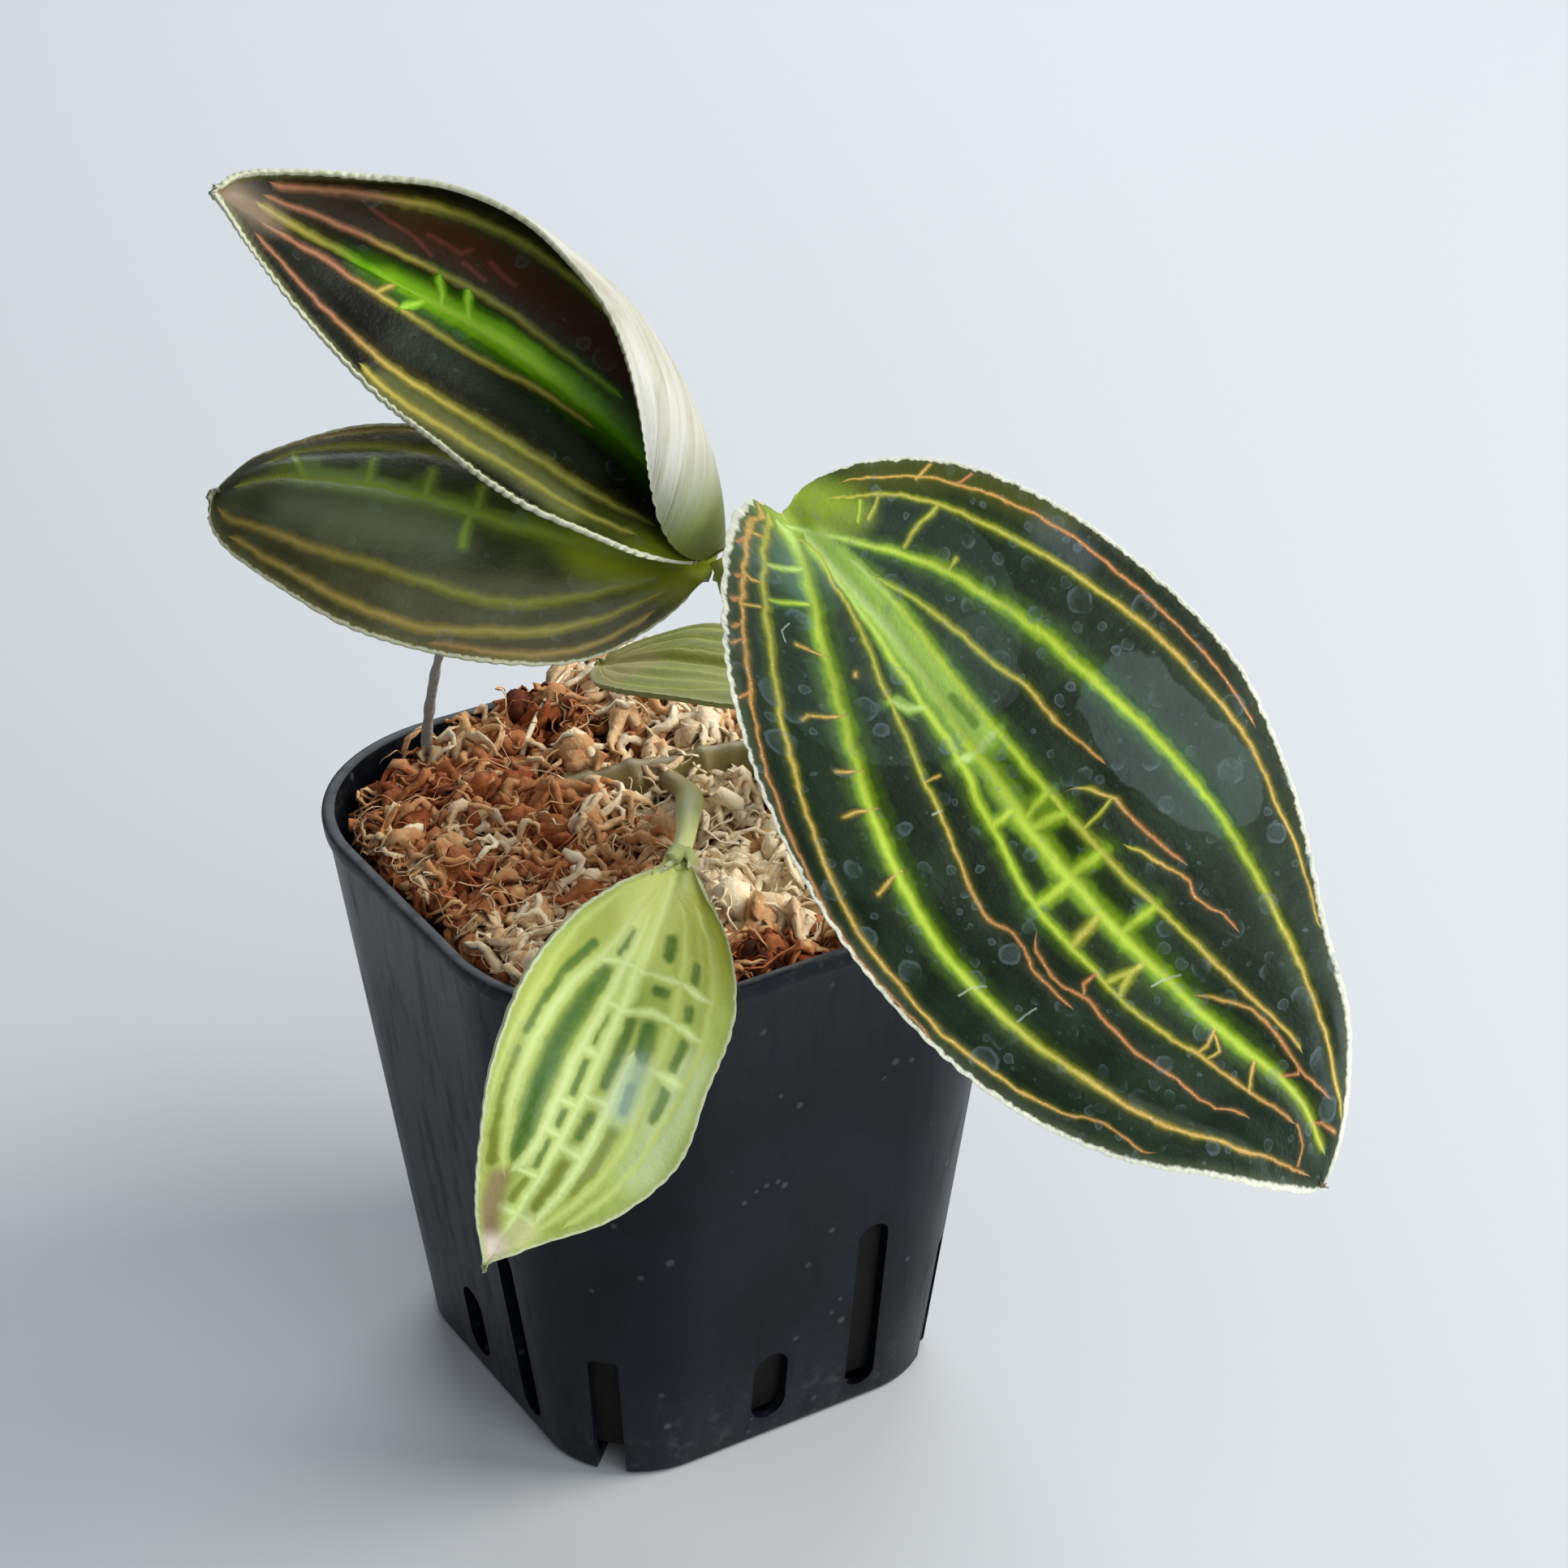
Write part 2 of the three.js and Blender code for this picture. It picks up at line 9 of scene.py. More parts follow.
import json
import logging
import math
from dataclasses import dataclass
from enum import Enum
from typing import Callable

import bpy
import numpy as np
from mathutils import Matrix, Vector, noise

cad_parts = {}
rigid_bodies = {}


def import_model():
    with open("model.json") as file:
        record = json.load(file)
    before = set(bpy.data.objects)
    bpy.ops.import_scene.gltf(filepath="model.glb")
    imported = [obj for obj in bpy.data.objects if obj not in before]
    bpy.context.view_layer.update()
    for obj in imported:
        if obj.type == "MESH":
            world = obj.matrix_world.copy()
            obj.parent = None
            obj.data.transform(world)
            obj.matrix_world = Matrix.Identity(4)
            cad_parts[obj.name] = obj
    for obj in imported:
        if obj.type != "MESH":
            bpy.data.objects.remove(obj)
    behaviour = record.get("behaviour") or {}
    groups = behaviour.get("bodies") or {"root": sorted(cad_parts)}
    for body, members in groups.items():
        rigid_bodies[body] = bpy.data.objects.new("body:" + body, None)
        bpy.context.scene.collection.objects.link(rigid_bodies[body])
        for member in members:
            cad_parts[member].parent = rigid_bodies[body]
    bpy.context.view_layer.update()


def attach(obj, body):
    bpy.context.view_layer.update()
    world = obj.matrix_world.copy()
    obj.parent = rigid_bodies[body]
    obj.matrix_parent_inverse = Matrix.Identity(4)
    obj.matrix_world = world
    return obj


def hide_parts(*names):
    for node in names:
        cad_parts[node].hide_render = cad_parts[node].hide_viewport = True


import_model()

logging.basicConfig(level=logging.INFO, format="%(message)s")
LOG = logging.getLogger("orchid")

MM = 0.001
BODY = "root"
FLAT_SCALE = 100.0  # millimetres of flattened leaf for one unit of its map
WIDTH_SCALE = 10.0  # millimetres of half width for one unit of a width curve

Piece = bpy.types.Object
Node = bpy.types.Node
Socket = bpy.types.NodeSocket
Tree = bpy.types.NodeTree
Rows = np.ndarray
Tone = tuple[int, int, int]
Point = tuple[float, float]
Place = tuple[float, float, float]
Course = tuple[Point, ...]
Stops = tuple[tuple[float, Tone], ...]
Value = Socket | float
Feed = Value | tuple[float, ...]
Mark = tuple[Socket, Value]  # how far a point lies from a marking, and the ripeness there


def linear(tone: Tone) -> tuple[float, ...]:
    """Turns a display colour into a linear one with full alpha."""
    shares = [part / 255 for part in tone]
    return (*(c / 12.92 if c <= 0.04045 else ((c + 0.055) / 1.055) ** 2.4 for c in shares), 1.0)


def pairwise(items: list, join: Callable) -> object:
    """Joins neighbours, again and again, until one item is left.

    Args:
        items: The items, at least one.
        join: Joins two of them.

    Returns:
        The last item.
    """
    while len(items) > 1:
        pairs = [items[i : i + 2] for i in range(0, len(items), 2)]
        items = [pair[0] if len(pair) == 1 else join(*pair) for pair in pairs]
    return items[0]


# ---------------------------------------------------------------- shader building


class Sketch:
    """A node tree with short methods that add nodes and join them."""

    def __init__(self, tree: Tree) -> None:
        """Keeps the tree that nodes are added to."""
        self.tree = tree

    def feed(self, socket: Socket, value: Feed) -> None:
        """Joins another socket to this one, or gives it a plain value.

        Args:
            socket: The input to feed.
            value: The socket, number, vector or display colour that goes in.
        """
        if isinstance(value, Socket):
            self.tree.links.new(value, socket)
        else:
            socket.default_value = linear(value) if socket.type == "RGBA" else value

    def add(self, kind: str, inputs: dict | tuple = (), **settings: object) -> Node:
        """Adds a node.

        Args:
            kind: The node's type, without the prefix that all have.
            inputs: What goes into its inputs, in order, or by name or number.
            **settings: Properties to set on it.

        Returns:
            The new node.
        """
        node = self.tree.nodes.new("ShaderNode" + kind)
        for name, value in settings.items():
            setattr(node, name, value)
        for key, value in inputs.items() if isinstance(inputs, dict) else enumerate(inputs):
            self.feed(node.inputs[key], value)
        return node

    def math(self, operation: str, *values: Value) -> Socket:
        """Works out a value from others."""
        return self.add("Math", values, operation=operation).outputs[0]

    def times(self, first: Value, second: Value) -> Socket:
        """Multiplies two values."""
        return self.math("MULTIPLY", first, second)

    def graded(self, value: Value, gain: Value, offset: Value) -> Socket:
        """Multiplies a value by a gain and adds an offset."""
        return self.math("MULTIPLY_ADD", value, gain, offset)

    def clamp(self, value: Socket) -> Socket:
        """Keeps a value within 0..1."""
        return self.math("MAXIMUM", self.math("MINIMUM", value, 1.0), 0.0)

    def vector(self, operation: str, *values: Feed) -> Socket:
        """Works out a vector, or for a product or distance a value, from vectors."""
        node = self.add("VectorMath", values, operation=operation)
        return node.outputs["Value" if operation in ("DOT_PRODUCT", "DISTANCE") else "Vector"]

    def scaled(self, vector: Socket, factor: Value) -> Socket:
        """Multiplies a vector by a number."""
        return self.add("VectorMath", {0: vector, "Scale": factor}, operation="SCALE").outputs[0]

    def split(self, vector: Socket) -> tuple[Socket, ...]:
        """Gives the three parts of a vector."""
        return tuple(self.add("SeparateXYZ", (vector,)).outputs)

    def step(
        self, value: Value, start: Value, end: Value, low: Value = 0.0, high: Value = 1.0
    ) -> Socket:
        """Steps softly from low at the start to high at the end, which may lie below it."""
        values = (value, start, end, low, high)
        return self.add("MapRange", values, interpolation_type="SMOOTHSTEP").outputs[0]

    def mix(
        self, factor: Value, first: Socket | Tone, second: Socket | Tone, blend: str = "MIX"
    ) -> Socket:
        """Lays the second colour over the first, as much as the factor says."""
        inputs = {0: factor, 6: first, 7: second}
        return self.add("Mix", inputs, data_type="RGBA", blend_type=blend).outputs[2]

    def noise(
        self, place: Socket, scale: float, detail: float = 2.0, rough: float = 0.5,
        flat: bool = True, output: int = 0,
    ) -> Socket:
        """Gives soft noise around one half, as a value or, from output 1, as a vector."""
        inputs = {"Vector": place, "Scale": scale, "Detail": detail, "Roughness": rough}
        return self.add("TexNoise", inputs, noise_dimensions="2D" if flat else "3D").outputs[output]

    def cells(self, place: Socket, scale: float, feature: str = "F1", flat: bool = True) -> Node:
        """Adds a pattern of cells, over a plane alone where it is flat."""
        settings = {"voronoi_dimensions": "2D" if flat else "3D", "feature": feature}
        return self.add("TexVoronoi", {"Vector": place, "Scale": scale}, **settings)

    def curve(self, value: Socket, points: Course, jagged: bool = False) -> Socket:
        """Reads a curve through points, all within 0..1.

        Args:
            value: What is read.
            points: The points, from low to high.
            jagged: Whether it runs straight from point to point.

        Returns:
            The curve's value.
        """
        node = self.add("FloatCurve", {"Value": value})
        line = node.mapping.curves[0]
        line.points[0].location = points[0]
        line.points[1].location = points[-1]
        for x, y in points[1:-1]:
            line.points.new(x, y)
        for point in line.points:
            point.handle_type = "VECTOR" if jagged else "AUTO"
        node.mapping.update()
        return node.outputs[0]

    def ramp(self, value: Socket, stops: Stops) -> Socket:
        """Reads a colour ramp.

        Args:
            value: What is read.
            stops: Places and colours, from low to high.

        Returns:
            The colour.
        """
        node = self.add("ValToRGB", (value,))
        elements = node.color_ramp.elements
        for element, (position, colour) in ((elements[0], stops[0]), (elements[1], stops[-1])):
            element.position, element.color = position, linear(colour)
        for position, colour in stops[1:-1]:
            elements.new(position).color = linear(colour)
        return node.outputs[0]

    def group(self, tree: Tree, **values: Feed) -> Node:
        """Places a node group, with its inputs by their names in lower case with underscores."""
        inputs = {name.replace("_", " ").capitalize(): value for name, value in values.items()}
        return self.add("Group", inputs, node_tree=tree)

    def laid_flat(self) -> Socket:
        """Reads where a point lies on the leaf laid flat, in millimetres."""
        reading = self.add("UVMap", uv_map="flat").outputs[0], (FLAT_SCALE, FLAT_SCALE, 0.0)
        return self.vector("MULTIPLY_ADD", *reading, (0.0, -FLAT_SCALE / 2, 0.0))

    def grained(self, grain: Tree, place: Socket, size: float, rough: float) -> tuple[Socket, ...]:
        """Gives the height of a fine grain, and a roughness that varies slowly with it."""
        node = self.group(grain, place=place, size=size)
        return node.outputs["Height"], self.graded(node.outputs["Slow"], 0.2, rough - 0.1)

    def surface(
        self, colour: Socket, rough: Socket, relief: tuple[Socket, float, float], gloss: float = 0.5
    ) -> None:
        """Feeds the material's own shader.

        Args:
            colour: The colour.
            rough: The roughness.
            relief: The height of the relief, how strong its bump is, and its depth in metres.
            gloss: How strongly it reflects.
        """
        inputs = self.tree.nodes["Principled BSDF"].inputs
        bump = self.add("Bump", dict(zip(("Height", "Strength", "Distance"), relief)))
        names = ("Base Color", "Roughness", "Normal", "Specular IOR Level")
        for name, value in zip(names, (colour, rough, bump.outputs[0], gloss)):
            self.feed(inputs[name], value)


class GroupSketch(Sketch):
    """The tree of a new shader node group."""

    def __init__(self, name: str, vectors: tuple, numbers: tuple, outputs: tuple) -> None:
        """Makes the group with its inputs and outputs.

        Args:
            name: The group's name.
            vectors: The names of its vector inputs.
            numbers: The names of its number inputs.
            outputs: The names of its outputs, which are all numbers.
        """
        super().__init__(bpy.data.node_groups.new(name, "ShaderNodeTree"))
        inputs = (("Vector", "INPUT", vectors), ("Float", "INPUT", numbers))
        for kind, side, labels in (*inputs, ("Float", "OUTPUT", outputs)):
            for label in labels:
                self.tree.interface.new_socket(
                    name=label, in_out=side, socket_type="NodeSocket" + kind
                )
        self.given = self.tree.nodes.new("NodeGroupInput").outputs
        self.out = self.tree.nodes.new("NodeGroupOutput").inputs

    def give(self, **values: Socket) -> Tree:
        """Feeds the group's outputs, by their names in lower case, and gives its tree."""
        for name, value in values.items():
            self.feed(self.out[name.capitalize()], value)
        return self.tree

    def sized(self, place: Socket) -> Socket:
        """Divides a place by the group's size."""
        return self.scaled(place, self.math("DIVIDE", 1.0, self.given["Size"]))


class SharedEffects:
    """The shader node groups that several finishes use."""

    def __init__(self) -> None:
        """Builds each group once."""
        self.stroke = self._stroke()
        self.vein = self._vein()
        self.nearer = self._nearer()
        self.water_marks = self._water_marks()
        self.specks = self._specks()
        self.grain = self._grain()

    @staticmethod
    def _stroke() -> Tree:
        """Builds the group that tells how far a point lies from a short straight stroke.

        Returns:
            The group. Reach is 1 at the stroke's radius.
        """
        sketch = GroupSketch("Stroke", ("Place", "Start", "End"), ("Radius",), ("Reach",))
        given = sketch.given
        from_start = sketch.vector("SUBTRACT", given["Place"], given["Start"])
        whole = sketch.vector("SUBTRACT", given["End"], given["Start"])
        along = sketch.vector("DOT_PRODUCT", from_start, whole)
        square = sketch.math("MAXIMUM", sketch.vector("DOT_PRODUCT", whole, whole), 1e-6)
        share = sketch.clamp(sketch.math("DIVIDE", along, square))
        apart = sketch.vector("DISTANCE", from_start, sketch.scaled(whole, share))
        return sketch.give(reach=sketch.math("DIVIDE", apart, given["Radius"]))

    @staticmethod
    def _vein() -> Tree:
        """Builds the group that tells how far a point lies from a vein's middle line.

        Returns:
            The group. Reach is 1 at the vein's half width, which runs out at both ends.
        """
        names = ("Along", "Across", "Centre", "Half width", "Start", "End")
        sketch = GroupSketch("Vein", (), names, ("Reach",))
        along, across, centre, half, start, end = (sketch.given[name] for name in names)
        run_out = 1.4
        centre = sketch.graded(centre, FLAT_SCALE, -FLAT_SCALE / 2)
        apart = sketch.math("ABSOLUTE", sketch.math("SUBTRACT", across, centre))
        rise = sketch.step(along, start, sketch.math("ADD", start, run_out))
        fall = sketch.step(along, end, sketch.math("SUBTRACT", end, run_out))
        half = sketch.times(sketch.times(half, WIDTH_SCALE), sketch.times(rise, fall))
        return sketch.give(reach=sketch.math("DIVIDE", apart, sketch.math("MAXIMUM", half, 1e-4)))

    @staticmethod
    def _nearer() -> Tree:
        """Builds the group that joins two markings into one, with a small fillet between them.

        Returns:
            The group.
        """
        names = ("Reach", "Ripe", "Other reach", "Other ripe")
        sketch = GroupSketch("Nearer", (), names, ("Reach", "Ripe"))
        reach, ripe, other_reach, other_ripe = (sketch.given[name] for name in names)
        ahead = sketch.step(sketch.math("SUBTRACT", reach, other_reach), -0.8, 0.8)
        apart = sketch.math("SUBTRACT", other_ripe, ripe)
        joined = sketch.math("SMOOTH_MIN", reach, other_reach, 0.7)
        return sketch.give(reach=joined, ripe=sketch.graded(ahead, apart, ripe))

    @staticmethod
    def _water_marks() -> Tree:
        """Builds the group for dried drops: pale rings and faint discs.

        Returns:
            The group.
        """
        sketch = GroupSketch("Water marks", ("Place",), ("Size", "Share"), ("Ring", "Disc"))
        place = sketch.given["Place"]
        wobble = sketch.vector("SUBTRACT", sketch.noise(place, 0.9, output=1), (0.5,) * 3)
        moved = sketch.vector("ADD", place, sketch.scaled(wobble, 0.5))
        cell = sketch.cells(sketch.sized(moved), 1.0)
        chance = sketch.add("SeparateColor", (cell.outputs["Color"],)).outputs
        distance = cell.outputs["Distance"]
        radius = sketch.graded(chance[0], 0.24, 0.1)
        kept = sketch.math("LESS_THAN", chance[1], sketch.given["Share"])
        disc = sketch.step(distance, radius, sketch.math("SUBTRACT", radius, 0.035))
        inner = sketch.math("SUBTRACT", radius, 0.06)
        core = sketch.step(distance, inner, sketch.math("SUBTRACT", inner, 0.05))
        ring = sketch.math("SUBTRACT", disc, core)
        fade = sketch.step(sketch.noise(place, 0.35), 0.35, 0.65)
        ring, disc = (sketch.times(sketch.times(part, kept), fade) for part in (ring, disc))
        return sketch.give(ring=ring, disc=disc)

    @staticmethod
    def _specks() -> Tree:
        """Builds the group for tiny specks, such as dust or painted glints.

        Returns:
            The group.
        """
        sketch = GroupSketch("Specks", ("Place",), ("Size", "Share"), ("Speck",))
        cell = sketch.cells(sketch.sized(sketch.given["Place"]), 1.0, flat=False)
        chance = sketch.add("SeparateColor", (cell.outputs["Color"],)).outputs
        kept = sketch.math("LESS_THAN", chance[0], sketch.given["Share"])
        radius = sketch.graded(chance[2], 0.25, 0.2)
        dot = sketch.step(cell.outputs["Distance"], radius, sketch.times(radius, 0.5))
        return sketch.give(speck=sketch.times(dot, kept))

    @staticmethod
    def _grain() -> Tree:
        """Builds the group for fine grain: one height and one slow variation.

        Returns:
            The group.
        """
        sketch = GroupSketch("Grain", ("Place",), ("Size",), ("Height", "Slow"))
        place = sketch.sized(sketch.given["Place"])
        fine, slow = (sketch.noise(place, scale, 3.0, flat=False) for scale in (1.0, 0.06))
        return sketch.give(height=fine, slow=slow)


class Finish:
    """What a surface is made of."""

    name: str

    def material(self, shared: SharedEffects) -> bpy.types.Material:
        """Builds the finish as a material.

        Args:
            shared: The node groups.

        Returns:
            The material.
        """
        material = bpy.data.materials.new(self.name)
        material.use_nodes = True
        self.paint(Sketch(material.node_tree), shared)
        return material

    def paint(self, sketch: Sketch, shared: SharedEffects) -> None:
        """Builds the finish's own nodes, which each kind of finish has to give."""
        raise NotImplementedError


# ---------------------------------------------------------------- leaf finishes


class Ripe(float, Enum):
    """How far a vein has coloured, from the pale base to the orange ends."""

    PALE = 0.0
    GREEN = 0.25
    OLIVE = 0.5
    GOLD = 0.75
    ORANGE = 1.0


@dataclass(frozen=True)
class Vein:
    """A line along the leaf: its middle line, and its half width and ripeness along the way."""

    course: Course
    width: Course
    ripe: Course
    jagged: bool = False


@dataclass(frozen=True)
class Stroke:
    """A short chain of straight strokes, or one round spot where it has a single point."""

    course: Course
    radius: float
    ripe: Ripe = Ripe.GREEN


@dataclass(frozen=True)
class Shade:
    """How a vein of one ripeness is coloured, from its middle outwards."""

    ripe: Ripe
    core: Tone
    flank: Tone
    glow: Tone


@dataclass(frozen=True)
class Wash:
    """Patches of one colour on the leaf, soft or sharp."""

    strokes: tuple[Stroke, ...]
    colour: Tone
    strength: float
    edge: Point
    over: bool = False
    wet: float = 0.0
    ragged: float = 0.0


@dataclass(frozen=True)
class Margin:
    """The pale bead round a leaf."""

    colour: Tone
    inner: Tone
    width: float
    halo: float = 0.6
    slim: float = 0.8


@dataclass(frozen=True)
class LeafFinish(Finish):
    """The colours and markings of a leaf's upper face."""

    name: str
    length: float
    blade: Tone
    blade_light: Tone
    markings: tuple[Vein | Stroke, ...]
    shades: tuple[Shade, ...]
    washes: tuple[Wash, ...]
    margin: Margin
    marks_share: float
    dust: float = 0.25
    glow_strength: float = 0.9
    painted_glints: float = 0.0
    roughness: float = 0.38
    gloss: float = 0.24

    def paint(self, sketch: Sketch, shared: SharedEffects) -> None:
        """Paints the leaf's material."""
        LeafPainter(self, sketch, shared).paint()


@dataclass
class LeafPainter:
    """Builds one leaf finish as nodes, one coat over another."""

    finish: LeafFinish
    sketch: Sketch
    shared: SharedEffects

    WANDER = 0.6
    CORE = (1.25, 0.1)
    FLANK = (2.3, 0.95)
    GLOW = (5.0, 1.4)
    # colour of the painted glints on the riper veins
    PAINTED_GLINT_TONE = (255, 236, 180)
    FILM = (112, 130, 132)

    def paint(self) -> None:
        """Lays every coat."""
        self.wet: Value = 0.0
        self._lay_out()
        self._blade()
        self._washes(over=False)
        self._veins()
        self._washes(over=True)
        self._margin()
        self._weather()
        self._relief()

    def _lay_out(self) -> None:
        """Reads the leaf's map and lets it wander a little, as no vein is ruler-straight."""
        sketch = self.sketch
        rim = sketch.add("UVMap", uv_map="rim").outputs[0]
        self.from_edge, self.station, _ = sketch.split(rim)
        self.plain = sketch.laid_flat()
        shift = sketch.noise(self.plain, 0.35, 3.0, 0.55, output=1)
        shift = sketch.vector("SUBTRACT", shift, (0.5, 0.5, 0.5))
        shift = sketch.vector("MULTIPLY", shift, (1.0, 1.0, 0.0))
        self.place = sketch.vector("ADD", self.plain, sketch.scaled(shift, self.WANDER))
        self.along, self.across, _ = sketch.split(self.place)
        self.share = sketch.math("DIVIDE", self.along, self.finish.length)

    def _chain(self, stroke: Stroke) -> list[Socket]:
        """Measures how far a point lies from each straight part of a stroke.

        Args:
            stroke: The stroke.

        Returns:
            One reach for each part.
        """
        ends = stroke.course if len(stroke.course) > 1 else stroke.course * 2
        given = {"tree": self.shared.stroke, "place": self.place, "radius": stroke.radius}
        return [
            self.sketch.group(start=(*a, 0.0), end=(*b, 0.0), **given).outputs[0]
            for a, b in zip(ends, ends[1:])
        ]

    def _trace(self, vein: Vein) -> Mark:
        """Measures how far a point lies from a vein.

        Args:
            vein: The vein.

        Returns:
            Its reach, with its ripeness there.
        """
        sketch, length = self.sketch, self.finish.length
        course = tuple((x / length, 0.5 + y / FLAT_SCALE) for x, y in vein.course)
        width = tuple((x / length, w / WIDTH_SCALE) for x, w in vein.width)
        node = sketch.group(
            self.shared.vein, along=self.along, across=self.across,
            centre=sketch.curve(self.share, course, vein.jagged),
            half_width=sketch.curve(self.share, width, True),
            start=vein.course[0][0], end=vein.course[-1][0],
        )
        ripe: Value = vein.ripe[0][1]
        if len(vein.ripe) > 1:
            ripe = sketch.curve(self.share, tuple((x / length, r) for x, r in vein.ripe), True)
        return node.outputs[0], ripe

    def _marks(self) -> list[Mark]:
        """Measures how far a point lies from each marking, in order."""
        marks: list[Mark] = []
        for mark in self.finish.markings:
            if isinstance(mark, Stroke):
                marks += [(reach, float(mark.ripe)) for reach in self._chain(mark)]
            else:
                marks.append(self._trace(mark))
        return marks

    def _nearer(self, first: Mark, second: Mark) -> Mark:
        """Joins two markings, with a small fillet where they meet."""
        values = dict(zip(("reach", "ripe", "other_reach", "other_ripe"), (*first, *second)))
        return tuple(self.sketch.group(self.shared.nearer, **values).outputs)

    def _blade(self) -> None:
        """Colours the blade between its markings, with slow clouds and a fine grain."""
        sketch = self.sketch
        slow = sketch.step(sketch.noise(self.plain, 0.11, 3.0), 0.35, 0.7)
        fine = sketch.noise(self.plain, 3.2)
        amount = sketch.clamp(sketch.graded(fine, 0.5, sketch.graded(slow, 0.8, -0.3)))
        self.colour = sketch.mix(amount, self.finish.blade, self.finish.blade_light)

    def _washes(self, over: bool) -> None:
        """Lays the washes that lie over the veins, or those under them.

        Args:
            over: Whether it is the turn of those over them.
        """
        sketch = self.sketch
        for wash in (w for w in self.finish.washes if w.over is over):
            parts = [reach for stroke in wash.strokes for reach in self._chain(stroke)]
            reach = pairwise(parts, lambda a, b: sketch.math("MINIMUM", a, b))
            if wash.ragged:
                edge = sketch.noise(self.plain, 0.22, 3.0)
                shift = sketch.graded(edge, 2 * wash.ragged, -wash.ragged)
                reach = sketch.math("ADD", reach, shift)
            inner, outer = wash.edge
            amount = sketch.step(reach, outer, inner, 0.0, wash.strength)
            self.colour = sketch.mix(amount, self.colour, wash.colour)
            if wash.wet:
                self.wet = sketch.step(reach, outer, inner, 0.0, wash.wet)

    def _shade(self, ripe: Value, part: str) -> Socket | Tone:
        """Gives the colour of one part of the veins for their ripeness."""
        stops = tuple((float(shade.ripe), getattr(shade, part)) for shade in self.finish.shades)
        return self.sketch.ramp(ripe, stops) if len(stops) > 1 else stops[0][1]

    def _veins(self) -> None:
        """Lays all veins: their glow, then their flanks, then their bright cores."""
        sketch = self.sketch
        reach, ripe = pairwise(self._marks(), self._nearer)
        uneven = sketch.noise(self.plain, 0.8, 3.0)
        reach = sketch.times(reach, sketch.graded(uneven, 0.6, 0.7))
        glow = sketch.step(reach, *self.GLOW, 0.0, self.finish.glow_strength)
        flank, core = (sketch.step(reach, *edge) for edge in (self.FLANK, self.CORE))
        colour = sketch.mix(glow, self.colour, self._shade(ripe, "glow"), "LIGHTEN")
        colour = sketch.mix(flank, colour, self._shade(ripe, "flank"), "LIGHTEN")
        bright = self._shade(ripe, "core")
        # Painted glints: bright specks on the riper veins stand for light catching their cells.
        if self.finish.painted_glints:
            speck = sketch.group(self.shared.specks, place=self.plain, size=0.16, share=0.5)
            amount = sketch.times(speck.outputs[0], self.finish.painted_glints)
            amount = sketch.times(amount, sketch.step(ripe, Ripe.GREEN, Ripe.GOLD))
            bright = sketch.mix(amount, bright, self.PAINTED_GLINT_TONE)
        self.sunk = core
        self.colour = sketch.mix(core, colour, bright)

    def _margin(self) -> None:
        """Lays the pale bead along the leaf's edge, slimmer towards the base."""
        sketch, margin = self.sketch, self.finish.margin
        uneven = sketch.graded(sketch.noise(self.plain, 1.4), 0.5, -0.25)
        from_edge = sketch.math("ADD", sketch.times(self.from_edge, WIDTH_SCALE), uneven)
        grown = sketch.step(self.station, 0.45, 0.9, margin.slim, 1.0)
        grown = sketch.times(grown, sketch.step(self.station, 0.03, 0.18, 0.15, 1.0))
        from_edge = sketch.math("DIVIDE", from_edge, grown)
        inside = sketch.step(from_edge, 2.6 * margin.width, 0.7 * margin.width, 0.0, margin.halo)
        bead = sketch.step(from_edge, margin.width, 0.5 * margin.width)
        rope = sketch.step(sketch.noise(self.plain, 2.2, 1.0), 0.35, 0.65)
        pale = sketch.mix(0.8, sketch.mix(rope, margin.inner, margin.colour), margin.colour)
        self.colour = sketch.mix(bead, sketch.mix(inside, self.colour, margin.inner), pale)

    def _weather(self) -> None:
        """Lays dried water marks and dust, and sets how glossy the leaf is."""
        sketch, finish, place = self.sketch, self.finish, self.plain
        large, small = (
            sketch.group(self.shared.water_marks, place=place, size=size, share=share).outputs
            for size, share in ((4.6, finish.marks_share), (2.1, 0.8 * finish.marks_share))
        )
        ring, disc = (sketch.math("MAXIMUM", *pair) for pair in zip(large, small))
        dust = sketch.group(self.shared.specks, place=place, size=0.5, share=0.07).outputs[0]
        film = sketch.graded(dust, 0.16, sketch.graded(ring, 0.22, sketch.times(disc, 0.14)))
        self.colour = sketch.mix(sketch.times(film, finish.dust * 4), self.colour, self.FILM)
        rough = sketch.math("SUBTRACT", sketch.graded(ring, 0.1, finish.roughness), 0.08)
        rough = sketch.graded(sketch.noise(place, 0.25, 3.0), 0.16, rough)
        self.rough = sketch.math("SUBTRACT", rough, self.wet)

    def _relief(self) -> None:
        """Raises the skin's cells and a fine ripple, and sinks the veins, as a bump."""
        sketch = self.sketch
        cell = sketch.cells(self.plain, 2.6, "SMOOTH_F1").outputs["Distance"]
        ripple = sketch.noise(self.plain, 0.8, 3.0)
        height = sketch.graded(ripple, 0.1, sketch.times(cell, 0.025))
        height = sketch.graded(self.sunk, -0.05, height)
        sketch.surface(self.colour, self.rough, (height, 0.6, MM), self.finish.gloss)


